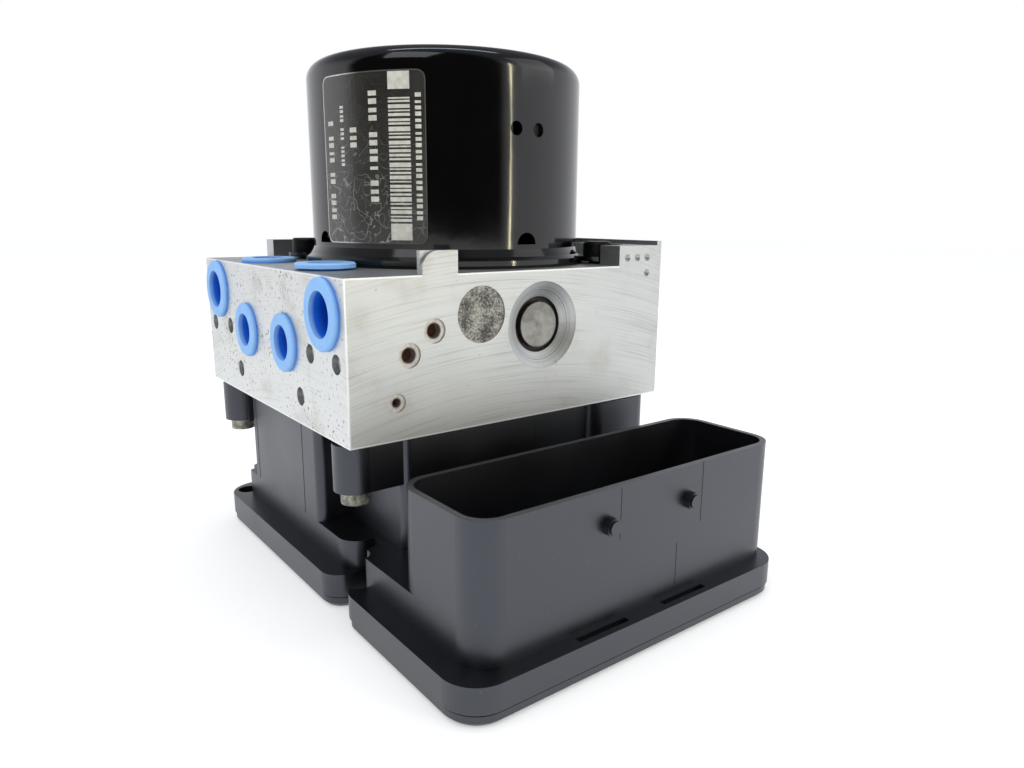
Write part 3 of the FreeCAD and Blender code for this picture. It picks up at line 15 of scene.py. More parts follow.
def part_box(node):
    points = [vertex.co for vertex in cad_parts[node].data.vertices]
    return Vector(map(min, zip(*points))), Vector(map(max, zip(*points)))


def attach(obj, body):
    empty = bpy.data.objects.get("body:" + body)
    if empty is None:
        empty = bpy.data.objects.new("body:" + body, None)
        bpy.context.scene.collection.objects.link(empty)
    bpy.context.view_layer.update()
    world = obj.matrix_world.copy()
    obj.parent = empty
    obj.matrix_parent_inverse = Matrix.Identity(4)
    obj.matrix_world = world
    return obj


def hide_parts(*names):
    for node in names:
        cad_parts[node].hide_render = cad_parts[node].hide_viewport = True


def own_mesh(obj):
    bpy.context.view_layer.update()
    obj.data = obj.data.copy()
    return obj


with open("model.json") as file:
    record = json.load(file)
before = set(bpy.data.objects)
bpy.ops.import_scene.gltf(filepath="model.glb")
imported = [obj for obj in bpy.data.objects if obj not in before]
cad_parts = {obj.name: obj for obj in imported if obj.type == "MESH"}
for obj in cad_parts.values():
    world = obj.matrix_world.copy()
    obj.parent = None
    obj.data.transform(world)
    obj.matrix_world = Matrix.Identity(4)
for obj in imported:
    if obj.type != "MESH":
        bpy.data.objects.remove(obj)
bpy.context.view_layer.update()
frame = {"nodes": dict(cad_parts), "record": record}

# %% [markdown]
# Everything is in metres and upright on the table. The block's corners and the height of
# its top, where the motor's seal lies, are read from the solids, so that the added pieces
# and the patterns sit on them.

# %% Places read from the solids
MM = 0.001
block_low, block_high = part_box("valve_block")
left, front, block_bottom = block_low
block_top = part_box("motor_seal")[0].z
print("block corner:", [round(side, 4) for side in block_low], "top:", round(block_top, 4))

# %% [markdown]
# Colours are written as the hex values that a paint program shows. Blender counts in
# linear light, so one function turns them. A second small function adds a shader node,
# sets it and links it, which keeps each finish below short enough to read.

# %% Helpers for colours and shader nodes
def srgb(text):
    """A hex colour as linear red, green, blue and full alpha."""
    channels = [int(text[start:start + 2], 16) / 255 for start in (1, 3, 5)]
    return [c / 12.92 if c <= 0.04045 else ((c + 0.055) / 1.055) ** 2.4 for c in channels] + [1]


def add(tree, kind, settings=None, links=None):
    """Adds a node: settings go to its properties or sockets, links come from other outputs."""
    made = tree.nodes.new(kind)
    for name, value in (settings or {}).items():
        if isinstance(name, str) and hasattr(made, name):
            setattr(made, name, value)
        else:
            made.inputs[name].default_value = value
    for name, source in (links or {}).items():
        tree.links.new(source, made.inputs[name])
    return made


def per_mm(size):
    """The scale that makes a pattern's features about this many millimetres wide."""
    return 1 / (size * MM)


# %% [markdown]
# The photograph was taken from the left and a little above, with a short lens. The camera
# stands where the edges of the block and of the motor line up with it. Its axes were
# solved from those edges, so it is placed by two angles and a very small roll.

# %% Camera
CAMERA_PLACE = (-0.12875, -0.20103, 0.10050)
CAMERA_TURN, CAMERA_DOWN, CAMERA_ROLL = -37.58, 12.44, 0.39
LENS_MM, SENSOR_MM = 26.498, 36
NEAREST = 0.01

camera = bpy.data.objects.new("camera", bpy.data.cameras.new("camera"))
camera.data.lens = LENS_MM
camera.data.sensor_width = SENSOR_MM
camera.data.clip_start = NEAREST
camera.matrix_world = (Matrix.Translation(CAMERA_PLACE)
                       @ Matrix.Rotation(math.radians(CAMERA_TURN), 4, "Z")
                       @ Matrix.Rotation(math.radians(90 - CAMERA_DOWN), 4, "X")
                       @ Matrix.Rotation(math.radians(CAMERA_ROLL), 4, "Z"))
bpy.context.scene.collection.objects.link(camera)
bpy.context.scene.camera = camera
bpy.context.scene.view_settings.view_transform = "Standard"
print("camera looks along", [round(side, 3) for side in camera.matrix_world.col[2][:3]])

# %% [markdown]
# A product picture on white needs light from everywhere. The background is white to the
# camera and in most reflections. The room behind the camera is darker, and that sector is
# what makes a black can look black in its middle and bright along its sides, so mirrored
# rays see it dark.

# %% World: white backdrop, plain light, darker behind the camera
WHITE = (1, 1, 1, 1)
PLAIN_LIGHT, WALL, CEILING, DARK_ROOM = "#dfe1e3", "#fafbff", "#8e9096", "#22211f"
ROOM_AZIMUTH = math.radians(221)
# Where each begins and is full: the room by the cosine to its middle, the ceiling by the
# ray's rise.
ROOM_EDGE, ROOM_FULL = 0.33, 0.5
CEILING_EDGE, CEILING_FULL = 0.2, 0.65

world = bpy.data.worlds.new("studio")
bpy.context.scene.world = world
world.use_nodes = True
sky = world.node_tree
sky.nodes.clear()
direction = add(sky, "ShaderNodeTexCoord").outputs["Generated"]
towards_room = Vector((math.cos(ROOM_AZIMUTH), math.sin(ROOM_AZIMUTH), 0))
facing = add(sky, "ShaderNodeVectorMath", {"operation": "DOT_PRODUCT", 1: towards_room},
             {0: direction})
dark_side = add(sky, "ShaderNodeMapRange", {"interpolation_type": "SMOOTHSTEP",
                                            "From Min": ROOM_EDGE, "From Max": ROOM_FULL},
                {"Value": facing.outputs["Value"]})
rising = add(sky, "ShaderNodeSeparateXYZ", links={0: direction})
ceiling = add(sky, "ShaderNodeMapRange", {"interpolation_type": "SMOOTHSTEP",
                                          "From Min": CEILING_EDGE, "From Max": CEILING_FULL},
              {"Value": rising.outputs["Z"]})
walls = add(sky, "ShaderNodeMix", {"data_type": "RGBA", 6: srgb(WALL), 7: srgb(CEILING)},
            {0: ceiling.outputs["Result"]})
mirrored = add(sky, "ShaderNodeMix", {"data_type": "RGBA", 7: srgb(DARK_ROOM)},
               {0: dark_side.outputs["Result"], 6: walls.outputs[2]})
rays = add(sky, "ShaderNodeLightPath")
lit = add(sky, "ShaderNodeMix", {"data_type": "RGBA", 6: srgb(PLAIN_LIGHT)},
          {0: rays.outputs["Is Glossy Ray"], 7: mirrored.outputs[2]})
seen = add(sky, "ShaderNodeMath", {"operation": "MAXIMUM"},
           {0: rays.outputs["Is Camera Ray"], 1: rays.outputs["Is Transmission Ray"]})
backdrop = add(sky, "ShaderNodeMix", {"data_type": "RGBA", 7: WHITE},
               {0: seen.outputs[0], 6: lit.outputs[2]})
background = add(sky, "ShaderNodeBackground", links={"Color": backdrop.outputs[2]})
add(sky, "ShaderNodeOutputWorld", links={"Surface": background.outputs[0]})
print("world:", len(sky.nodes), "nodes")

# %% [markdown]
# The floor is a sheet of white paper. It glows a little, but only to the camera and to
# mirrored rays, so it shows white there and still keeps the shadow under the module.

# %% Floor that stays white and keeps the shadow
FLOOR_HALF, FLOOR_GLOW = 3, 0.32

floor_mesh = bpy.data.meshes.new("floor")
bm = bmesh.new()
bmesh.ops.create_grid(bm, x_segments=1, y_segments=1, size=FLOOR_HALF)
bm.to_mesh(floor_mesh)
bm.free()
floor = bpy.data.objects.new("floor", floor_mesh)
bpy.context.scene.collection.objects.link(floor)
paper = bpy.data.materials.new("white_paper_floor")
paper.use_nodes = True
tree = paper.node_tree
tree.nodes.clear()
rays = add(tree, "ShaderNodeLightPath")
shown = add(tree, "ShaderNodeMath", {"operation": "MAXIMUM"},
            {0: rays.outputs["Is Camera Ray"], 1: rays.outputs["Is Glossy Ray"]})
lift = add(tree, "ShaderNodeMath", {"operation": "MULTIPLY", 1: FLOOR_GLOW},
           {0: shown.outputs[0]})
matt = add(tree, "ShaderNodeBsdfDiffuse", {"Color": srgb("#f3f3f3")})
glow = add(tree, "ShaderNodeEmission", {"Color": WHITE}, {"Strength": lift.outputs[0]})
both = add(tree, "ShaderNodeAddShader", links={0: matt.outputs[0], 1: glow.outputs[0]})
add(tree, "ShaderNodeOutputMaterial", links={"Surface": both.outputs[0]})
floor_mesh.materials.append(paper)
print("floor:", 2 * FLOOR_HALF, "m wide")

# %% [markdown]
# Two large soft lamps shape the block and throw its shadow. Two slim ones are there for
# the paint, which mirrors them as thin lines: a warm upright strip on the can's right
# side, and a cool tube overhead, across the view, along the can's rounded shoulder.

# %% Soft lamps
AIM = (0, 0, 70 * MM)
OVERHEAD = (0, 0, 0.95)


def softbox(name, place, size, watts, colour=(1, 1, 1)):
    """A lamp, size[0] wide and size[1] high, that looks at the middle of the module."""
    lamp = bpy.data.lights.new(name, "AREA")
    lamp.shape = "RECTANGLE"
    lamp.size, lamp.size_y = size
    lamp.energy = watts
    lamp.color = colour
    box = bpy.data.objects.new(name, lamp)
    aim = Vector(AIM) - Vector(place)
    box.matrix_world = Matrix.Translation(place) @ aim.to_track_quat("-Z", "Y").to_matrix().to_4x4()
    bpy.context.scene.collection.objects.link(box)
    return box


softbox("key_lamp", (-0.75, -0.35, 0.95), (0.7, 0.7), 2.6)
softbox("fill_lamp", (0.8, -0.7, 0.7), (0.8, 0.8), 1.4)
softbox("strip_lamp", (0.26, -0.72, 0.16), (0.014, 0.5), 0.7, (1, 0.93, 0.62))
tube = softbox("overhead_lamp", OVERHEAD, (0.75, 0.07), 1.0, (0.8, 0.88, 1))
tube.matrix_world = (Matrix.Translation(OVERHEAD)
                     @ Matrix.Rotation(math.radians(CAMERA_TURN), 4, "Z"))
print("lamps:", [lamp.name for lamp in bpy.data.lights])

# %% [markdown]
# Each finish starts as a Principled shader. Its colour, roughness and bump come from
# noise on Object coordinates, which stay with the piece and cost no picture file. The
# first function below starts a finish, and the second links what was made to the shader.

# %% Start and end of every finish
def finish(name, **settings):
    """A new material: its tree, its shader and the object coordinates in metres."""
    made = bpy.data.materials.new(name)
    made.use_nodes = True
    tree = made.node_tree
    shader = tree.nodes["Principled BSDF"]
    for socket, value in settings.items():
        shader.inputs[socket.replace("_", " ")].default_value = value
    return made, tree, shader, add(tree, "ShaderNodeTexCoord").outputs["Object"]


def connect(tree, shader, **sources):
    """Links outputs to the shader's sockets; as in finish, _ stands for a space."""
    for socket, source in sources.items():
        tree.links.new(source, shader.inputs[socket.replace("_", " ")])


# %% [markdown]
# The block is a sawn bar of aluminium, faced with a fly cutter. The cutter leaves fine
# arcs of a large circle. In polar coordinates about the circle's centre an arc is a
# straight line, so a noise squeezed along the radius draws them.

# %% Arcs of the fly cutter
CUTTER_CENTRE = (left + 45 * MM, front + 30 * MM, block_bottom - 160 * MM)
# Streaks: width and length in millimetres, noise where they begin and are full, depth.
# The real lines are 0.2 mm apart; they are drawn 0.4 and 0.9 mm apart so that they show.
STREAKS = ((0.4, 40, 0.5, 0.3, 0.6), (0.9, 60, 0.4, 0.3, 0.8))


def squeezed_noise(tree, across, along, across_mm, along_mm):
    """Noise drawn out into streaks: across_mm wide and along_mm long."""
    scaled = add(tree, "ShaderNodeCombineXYZ", links={
        "X": add(tree, "ShaderNodeMath", {"operation": "MULTIPLY", 1: per_mm(across_mm)},
                 {0: across}).outputs[0],
        "Y": add(tree, "ShaderNodeMath", {"operation": "MULTIPLY", 1: per_mm(along_mm)},
                 {0: along}).outputs[0]})
    return add(tree, "ShaderNodeTexNoise", {"Scale": 1, "Detail": 2, "Roughness": 0.6},
               {"Vector": scaled.outputs[0]}).outputs["Fac"]


def cutter_arcs(tree, place):
    """How deep the cutter scored this place, from 0 to 1."""
    offset = add(tree, "ShaderNodeVectorMath", {"operation": "SUBTRACT", 1: CUTTER_CENTRE},
                 {0: place})
    radius = add(tree, "ShaderNodeVectorMath", {"operation": "LENGTH"},
                 {0: offset.outputs[0]}).outputs["Value"]
    parts = add(tree, "ShaderNodeSeparateXYZ", links={0: offset.outputs[0]})
    swept = add(tree, "ShaderNodeMath", {"operation": "ADD"},
                {0: parts.outputs["X"], 1: parts.outputs["Y"]}).outputs[0]
    marks = [add(tree, "ShaderNodeMapRange",
                 {"From Min": begins, "From Max": full, "To Max": depth},
                 {"Value": squeezed_noise(tree, radius, swept, wide, long)}).outputs["Result"]
             for wide, long, begins, full, depth in STREAKS]
    return add(tree, "ShaderNodeMath", {"operation": "MAXIMUM"},
               {0: marks[0], 1: marks[1]}).outputs[0]


# %% [markdown]
# Sharp edges of soft metal are broken by a file and by handling, and catch the light.
# That light is painted on: a nearly white band along each edge is a painted highlight.
# The distance to the nearest outer edge finds them. At the right a land and in front a small
# tab rise past the block's top, so the front face has no edge below those two.

# %% Distance to the block's edges
LAND_MM, TAB_MM, TAB_MIDDLE_MM = 17.3, 9.9, 24.95


def nearest_edge(tree, place):
    """Distance in metres to the block's closest outer edge: the second least of three."""
    low = add(tree, "ShaderNodeVectorMath", {"operation": "SUBTRACT",
                                             1: (left, front, block_bottom)}, {0: place})
    parts = add(tree, "ShaderNodeSeparateXYZ", links={0: low.outputs[0]})
    above = add(tree, "ShaderNodeMath", {"operation": "SUBTRACT", 1: block_top - block_bottom},
                {0: parts.outputs["Z"]})
    from_top = add(tree, "ShaderNodeMath", {"operation": "ABSOLUTE"}, {0: above.outputs[0]})
    under_land = add(tree, "ShaderNodeMath",
                     {"operation": "GREATER_THAN", 1: block_high.x - LAND_MM * MM - left},
                     {0: parts.outputs["X"]})
    under_tab = add(tree, "ShaderNodeMath",
                    {"operation": "COMPARE", 1: TAB_MIDDLE_MM * MM, 2: TAB_MM / 2 * MM},
                    {0: parts.outputs["X"]})
    covered = add(tree, "ShaderNodeMath", {"operation": "ADD"},
                  {0: under_land.outputs[0], 1: under_tab.outputs[0]})
    top_edge = add(tree, "ShaderNodeMath", {"operation": "ADD"},
                   {0: from_top.outputs[0], 1: covered.outputs[0]})
    upright = add(tree, "ShaderNodeMath", {"operation": "MINIMUM"},
                  {0: parts.outputs["Z"], 1: top_edge.outputs[0]})
    sides = (parts.outputs["X"], parts.outputs["Y"], upright.outputs[0])
    pairs = [add(tree, "ShaderNodeMath", {"operation": "MAXIMUM"},
                 {0: sides[first], 1: sides[second]}).outputs[0]
             for first, second in ((0, 1), (1, 2), (0, 2))]
    least = add(tree, "ShaderNodeMath", {"operation": "MINIMUM"}, {0: pairs[0], 1: pairs[1]})
    return add(tree, "ShaderNodeMath", {"operation": "MINIMUM"},
               {0: least.outputs[0], 1: pairs[2]}).outputs[0]


# %% [markdown]
# Each pump plug sits in a sink that was turned with a boring tool. Its floor has rings
# about the pump's axis where the rest of the face has arcs, a step half-way out, and a
# narrow dark gap beside the plug.

# %% Turned sink round the pump plugs
PUMP_AXIS = (-0.6 * MM, 0, block_top - 14.7 * MM)
SINK_RADIUS, GAP_RADIUS, RING_MM = 11.7 * MM, 7.6 * MM, 0.7
STEP_RADIUS, STEP_HALF = 9.4 * MM, 0.14 * MM
SOFT_EDGE = 0.2 * MM


def from_pump_axis(tree, place):
    """Distance in metres to the line that both pump plugs share."""
    flat = add(tree, "ShaderNodeVectorMath", {"operation": "MULTIPLY", 1: (1, 0, 1)}, {0: place})
    return add(tree, "ShaderNodeVectorMath", {"operation": "DISTANCE", 1: PUMP_AXIS},
               {0: flat.outputs[0]}).outputs["Value"]


def turned_sink(tree, place):
    """Whether a place is in the sink, its rings, and the dark gap beside the plug."""
    reach = from_pump_axis(tree, place)
    rings = add(tree, "ShaderNodeTexNoise", {"noise_dimensions": "1D",
                                             "Scale": per_mm(RING_MM), "Detail": 2}, {"W": reach})
    dark = add(tree, "ShaderNodeMapRange", {"From Min": 0.52, "From Max": 0.36, "To Max": 0.35},
               {"Value": rings.outputs["Fac"]})
    step = add(tree, "ShaderNodeMath", {"operation": "COMPARE", 1: STEP_RADIUS, 2: STEP_HALF},
               {0: reach})
    drawn = add(tree, "ShaderNodeMath", {"operation": "MAXIMUM"},
                {0: dark.outputs["Result"], 1: step.outputs[0]})
    inside = add(tree, "ShaderNodeMath", {"operation": "LESS_THAN", 1: SINK_RADIUS}, {0: reach})
    gap = add(tree, "ShaderNodeMapRange", {"From Min": GAP_RADIUS, "To Max": 0.9,
                                           "From Max": GAP_RADIUS - SOFT_EDGE}, {"Value": reach})
    return inside.outputs[0], drawn.outputs[0], gap.outputs["Result"]


# %% [markdown]
# Years on a car add stains and small pits. Most are on the left face with the ports, and
# the front is nearly clean. The colour is built as a painter does it, one layer over the
# last: bare metal, paler on the left face as painted light, then cutter lines, stains,
# pits, painted highlights on the edges and the gap at the plug.

# %% Milled aluminium
def corroded(tree, place, cloud, on_left):
    """How pitted this place is, from 0 to 1: a fine noise against a limit that wanders."""
    pits = add(tree, "ShaderNodeTexNoise", {"Scale": per_mm(1.2), "Detail": 4,
                                            "Roughness": 0.65}, {"Vector": place})
    limit = add(tree, "ShaderNodeMapRange", {"From Min": 0.35, "From Max": 0.65,
                                             "To Min": 0.36, "To Max": 0.28}, {"Value": cloud})
    reach = add(tree, "ShaderNodeMath", {"operation": "MULTIPLY_ADD", 1: 0.07},
                {0: on_left, 2: limit.outputs["Result"]})
    short = add(tree, "ShaderNodeMath", {"operation": "SUBTRACT"},
                {0: reach.outputs[0], 1: pits.outputs["Fac"]})
    return add(tree, "ShaderNodeMapRange", {"From Min": 0, "From Max": 0.07},
               {"Value": short.outputs[0]}).outputs["Result"]


def milled_aluminium():
    # Bare aluminium: a bright, soft grey mirror with fine arcs, stains and small pits, and painted
    # highlights along its edges.
    made, tree, shader, place = finish("milled_aluminium", Metallic=1)
    cloud = add(tree, "ShaderNodeTexNoise", {"Scale": per_mm(16), "Detail": 2},
                {"Vector": place}).outputs["Fac"]
    parts = add(tree, "ShaderNodeSeparateXYZ", links={0: place})
    on_left = add(tree, "ShaderNodeMapRange", {"From Min": left + 0.3 * MM,
                                               "From Max": left + 0.1 * MM},
                  {"Value": parts.outputs["X"]}).outputs["Result"]
    fresh = add(tree, "ShaderNodeMapRange", {"From Min": 0.3, "From Max": 0.7,
                                             "To Min": 0.35, "To Max": 1.1}, {"Value": cloud})
    worn_off = add(tree, "ShaderNodeMath", {"operation": "MULTIPLY_ADD", 1: -0.45},
                   {0: on_left, 2: fresh.outputs["Result"]})
    arcs = add(tree, "ShaderNodeMath", {"operation": "MULTIPLY", "use_clamp": True},
               {0: cutter_arcs(tree, place), 1: worn_off.outputs[0]})
    in_sink, rings, gap = turned_sink(tree, place)
    scored = add(tree, "ShaderNodeMix", {"data_type": "FLOAT"},
                 {0: in_sink, 2: arcs.outputs[0], 3: rings}).outputs[0]
    pitted = corroded(tree, place, cloud, on_left)
    stain = add(tree, "ShaderNodeTexNoise", {"Scale": per_mm(11), "Detail": 6,
                                             "Roughness": 0.6}, {"Vector": place})
    stained = add(tree, "ShaderNodeMapRange", {"From Min": 0.54, "From Max": 0.78,
                                               "To Max": 0.55}, {"Value": stain.outputs["Fac"]})
    # Painted highlight: edges within half a millimetre are painted nearly white, for the light
    # their small chamfers catch.
    painted_edge_highlight = add(tree, "ShaderNodeMapRange", {"From Min": 0.5 * MM, "From Max": 0.25 * MM,
                                              "To Max": 0.8},
                 {"Value": nearest_edge(tree, place)})
    # Painted light: the left face gets a paler base than the other faces, for the stronger light
    # that falls on it.
    colour = add(tree, "ShaderNodeMix", {"data_type": "RGBA", 6: srgb("#c8cacb"),
                                         7: srgb("#dfe0df")}, {0: on_left}).outputs[2]
    layers = ((scored, "#a3a5a4"), (stained.outputs["Result"], "#b3aea2"),
              (pitted, "#75736d"), (painted_edge_highlight.outputs["Result"], "#f2f3f3"), (gap, "#2b2420"))
    for share, shade in layers:
        colour = add(tree, "ShaderNodeMix", {"data_type": "RGBA", 7: srgb(shade)},
                     {0: share, 6: colour}).outputs[2]
    rough = add(tree, "ShaderNodeMapRange", {"To Min": 0.4, "To Max": 0.55},
                {"Value": stain.outputs["Fac"]})
    relief = add(tree, "ShaderNodeMath", {"operation": "ADD"}, {0: scored, 1: pitted})
    bump = add(tree, "ShaderNodeBump", {"Strength": 0.12, "Distance": -0.02 * MM},
               {"Height": relief.outputs[0]})
    connect(tree, shader, Base_Color=colour, Roughness=rough.outputs["Result"],
            Normal=bump.outputs[0])
    print(made.name, len(tree.nodes), "nodes")
    return made


# %% [markdown]
# The can is drawn from sheet steel and painted gloss black. Paint over steel is smooth,
# with a faint waviness and a little dust, so only its roughness and bump move.

# %% Gloss black paint
def gloss_black_paint():
    # Stoving paint: a nearly black ground under a clear, even gloss.
    made, tree, shader, place = finish("gloss_black_paint", IOR=1.56)
    dust = add(tree, "ShaderNodeTexNoise", {"Scale": per_mm(0.8), "Detail": 3}, {"Vector": place})
    film = add(tree, "ShaderNodeTexNoise", {"Scale": per_mm(25), "Detail": 4}, {"Vector": place})
    colour = add(tree, "ShaderNodeMix", {"data_type": "RGBA", 6: srgb("#040405"),
                                         7: srgb("#0b0b0c")}, {0: film.outputs["Fac"]})
    rough = add(tree, "ShaderNodeMapRange", {"From Min": 0.3, "From Max": 0.7,
                                             "To Min": 0.06, "To Max": 0.13},
                {"Value": film.outputs["Fac"]})
    wave = add(tree, "ShaderNodeBump", {"Strength": 0.5, "Distance": 0.12 * MM},
               {"Height": film.outputs["Fac"]})
    bump = add(tree, "ShaderNodeBump", {"Strength": 0.06, "Distance": 0.02 * MM},
               {"Height": dust.outputs["Fac"], "Normal": wave.outputs[0]})
    connect(tree, shader, Base_Color=colour.outputs[2], Roughness=rough.outputs["Result"],
            Normal=bump.outputs[0])
    return made


# %% [markdown]
# The transport caps are soft polyethylene, pale at the thin flange and deep blue down in
# the cup. The deep blue is painted shade, for the light that is lost between the walls.
# The depth below the face that each cap sits in gives that change: along X for the side
# ports and along Z for the top ones.

# %% Blue polyethylene
FLANGE_PROUD, CUP_DEPTH = 1.6 * MM, 7 * MM


def blue_polyethylene():
    # Soft, slightly clear plastic: a waxy sheen over a colour that deepens inwards, as painted
    # shade in the cup.
    made, tree, shader, place = finish("blue_polyethylene", IOR=1.51, Specular_IOR_Level=0.08)
    parts = add(tree, "ShaderNodeSeparateXYZ", links={0: place})
    inward = add(tree, "ShaderNodeMath", {"operation": "SUBTRACT", 1: left},
                 {0: parts.outputs["X"]})
    down = add(tree, "ShaderNodeMath", {"operation": "SUBTRACT", 0: block_top},
               {1: parts.outputs["Z"]})
    depth = add(tree, "ShaderNodeMath", {"operation": "MINIMUM"},
                {0: inward.outputs[0], 1: down.outputs[0]})
    deep = add(tree, "ShaderNodeMapRange", {"From Min": -FLANGE_PROUD, "From Max": CUP_DEPTH},
               {"Value": depth.outputs[0]})
    cloud = add(tree, "ShaderNodeTexNoise", {"Scale": per_mm(3), "Detail": 3}, {"Vector": place})
    pale = add(tree, "ShaderNodeMix", {"data_type": "RGBA", 6: srgb("#8cc0ff"),
                                       7: srgb("#a3d0ff")}, {0: cloud.outputs["Fac"]})
    # Painted shade: the blue darkens with depth, for the light lost down in the cup.
    shaded_cup_blues = add(tree, "ShaderNodeValToRGB", links={"Fac": deep.outputs["Result"]})
    shaded_cup_blues.color_ramp.elements[0].position = 0.17
    shaded_cup_blues.color_ramp.elements[0].color = srgb("#2b7df2")
    shaded_cup_blues.color_ramp.elements[1].position = 0.95
    shaded_cup_blues.color_ramp.elements[1].color = srgb("#01309a")
    shaded_cup_blues.color_ramp.elements.new(0.45).color = srgb("#084fc6")
    in_cup = add(tree, "ShaderNodeMapRange", {"From Min": 0.1, "From Max": 0.2},
                 {"Value": deep.outputs["Result"]})
    colour = add(tree, "ShaderNodeMix", {"data_type": "RGBA"},
                 {0: in_cup.outputs["Result"], 6: pale.outputs[2], 7: shaded_cup_blues.outputs["Color"]})
    rough = add(tree, "ShaderNodeMapRange", {"To Min": 0.42, "To Max": 0.8},
                {"Value": deep.outputs["Result"]})
    grain = add(tree, "ShaderNodeTexNoise", {"Scale": per_mm(0.5), "Detail": 2}, {"Vector": place})
    bump = add(tree, "ShaderNodeBump", {"Strength": 0.1, "Distance": 0.03 * MM},
               {"Height": grain.outputs["Fac"]})
    connect(tree, shader, Base_Color=colour.outputs[2], Roughness=rough.outputs["Result"],
            Normal=bump.outputs[0])
    return made


# %% [markdown]
# The control unit is moulded from glass-filled nylon: black, satin and faintly grained.
# It is never an even black. Road film greys its faces in soft clouds, and its skin is
# slightly rougher where the mould was worn.

# %% Black moulded nylon
def moulded_nylon(name, dark, pale):
    # Glass-filled nylon: dark grey-black, satin, with a fine skin and a dusty film.
    # Twice the usual specular level: the skin is rich in resin and polished by handling.
    made, tree, shader, place = finish(name, IOR=1.53, Specular_IOR_Level=1,
                                       Specular_Tint=srgb("#eaefff"))
    film = add(tree, "ShaderNodeTexNoise", {"Scale": per_mm(18), "Detail": 5,
                                            "Roughness": 0.6}, {"Vector": place})
    speck = add(tree, "ShaderNodeTexNoise", {"Scale": per_mm(0.9), "Detail": 3}, {"Vector": place})
    share = add(tree, "ShaderNodeMapRange", {"From Min": 0.35, "From Max": 0.7},
                {"Value": film.outputs["Fac"]})
    colour = add(tree, "ShaderNodeMix", {"data_type": "RGBA", 6: srgb(dark), 7: srgb(pale)},
                 {0: share.outputs["Result"]})
    dusty = add(tree, "ShaderNodeMapRange", {"From Min": 0.68, "From Max": 0.74, "To Max": 0.14},
                {"Value": speck.outputs["Fac"]})
    dust = add(tree, "ShaderNodeMix", {"data_type": "RGBA", 7: srgb("#77756f")},
               {0: dusty.outputs["Result"], 6: colour.outputs[2]})
    rough = add(tree, "ShaderNodeMapRange", {"To Min": 0.26, "To Max": 0.44},
                {"Value": film.outputs["Fac"]})
    # The mould's spark grain is near 0.1 mm; it is drawn at 0.4 mm so that it shows.
    grain = add(tree, "ShaderNodeTexNoise", {"Scale": per_mm(0.4), "Detail": 2}, {"Vector": place})
    bump = add(tree, "ShaderNodeBump", {"Strength": 0.18, "Distance": 0.02 * MM},
               {"Height": grain.outputs["Fac"]})
    connect(tree, shader, Base_Color=dust.outputs[2], Roughness=rough.outputs["Result"],
            Normal=bump.outputs[0])
    return made


# %% [markdown]
# The pressed disc next to the pump is speckled dark and pale, as phosphated or
# zinc-plated steel looks once the plating has begun to go. A sharp noise in two sizes
# gives the specks. The plugs, covers and pale screw heads share the recipe.

# %% Speckled plated steel
PATCH_PER_SPECK = 7


def speckled_steel(name, dark, pale, speck_mm):
    # Worn zinc plating: pale grains beside dull dark ones, rough and hardly shiny.
    made, tree, shader, place = finish(name, Metallic=0.5)
    speck = add(tree, "ShaderNodeTexNoise", {"Scale": per_mm(speck_mm), "Detail": 6,
                                             "Roughness": 0.7}, {"Vector": place})
    patch = add(tree, "ShaderNodeTexNoise", {"Scale": per_mm(speck_mm * PATCH_PER_SPECK),
                                             "Detail": 3}, {"Vector": place})
    level = add(tree, "ShaderNodeMath", {"operation": "MULTIPLY_ADD", 1: 0.45},
                {0: patch.outputs["Fac"], 2: speck.outputs["Fac"]})
    share = add(tree, "ShaderNodeMapRange", {"From Min": 0.62, "From Max": 0.84},
                {"Value": level.outputs[0]})
    colour = add(tree, "ShaderNodeMix", {"data_type": "RGBA", 6: srgb(dark), 7: srgb(pale)},
                 {0: share.outputs["Result"]})
    rough = add(tree, "ShaderNodeMapRange", {"To Min": 0.65, "To Max": 0.42},
                {"Value": share.outputs["Result"]})
    bump = add(tree, "ShaderNodeBump", {"Strength": 0.3, "Distance": 0.05 * MM},
               {"Height": speck.outputs["Fac"]})
    connect(tree, shader, Base_Color=colour.outputs[2], Roughness=rough.outputs["Result"],
            Normal=bump.outputs[0])
    return made


# %% [markdown]
# The pieces inside are hidden until someone takes the module apart, and still get a true
# finish. They share one recipe: two close colours mixed by a grain of the right size,
# a roughness that moves with it and a little relief.

# %% Recipe for the inner pieces
def grained(name, dark, pale, grain_mm, roughness, metallic=0.0, relief_mm=0.01, stretch=1):
    """Two colours mixed by a grain, which stretch flattens along Z as turning does."""
    made, tree, shader, place = finish(name, Metallic=metallic)
    squeezed = add(tree, "ShaderNodeMapping", {"Scale": (1, 1, stretch)}, {"Vector": place})
    grain = add(tree, "ShaderNodeTexNoise", {"Scale": per_mm(grain_mm), "Detail": 4},
                {"Vector": squeezed.outputs[0]})
    share = add(tree, "ShaderNodeMapRange", {"From Min": 0.3, "From Max": 0.7},
                {"Value": grain.outputs["Fac"]})
    colour = add(tree, "ShaderNodeMix", {"data_type": "RGBA", 6: srgb(dark), 7: srgb(pale)},
                 {0: share.outputs["Result"]})
    rough = add(tree, "ShaderNodeMapRange", {"To Min": roughness - 0.06,
                                             "To Max": roughness + 0.08},
                {"Value": grain.outputs["Fac"]})
    bump = add(tree, "ShaderNodeBump", {"Strength": 0.3, "Distance": relief_mm * MM},
               {"Height": grain.outputs["Fac"]})
    connect(tree, shader, Base_Color=colour.outputs[2], Roughness=rough.outputs["Result"],
            Normal=bump.outputs[0])
    return made


# %% [markdown]
# Each line below is one real material of the module: its name, a dark and a pale colour,
# the size of its grain in millimetres, its roughness and, for metals, how metallic it is.
# The comment above it says what the material gives the eye.

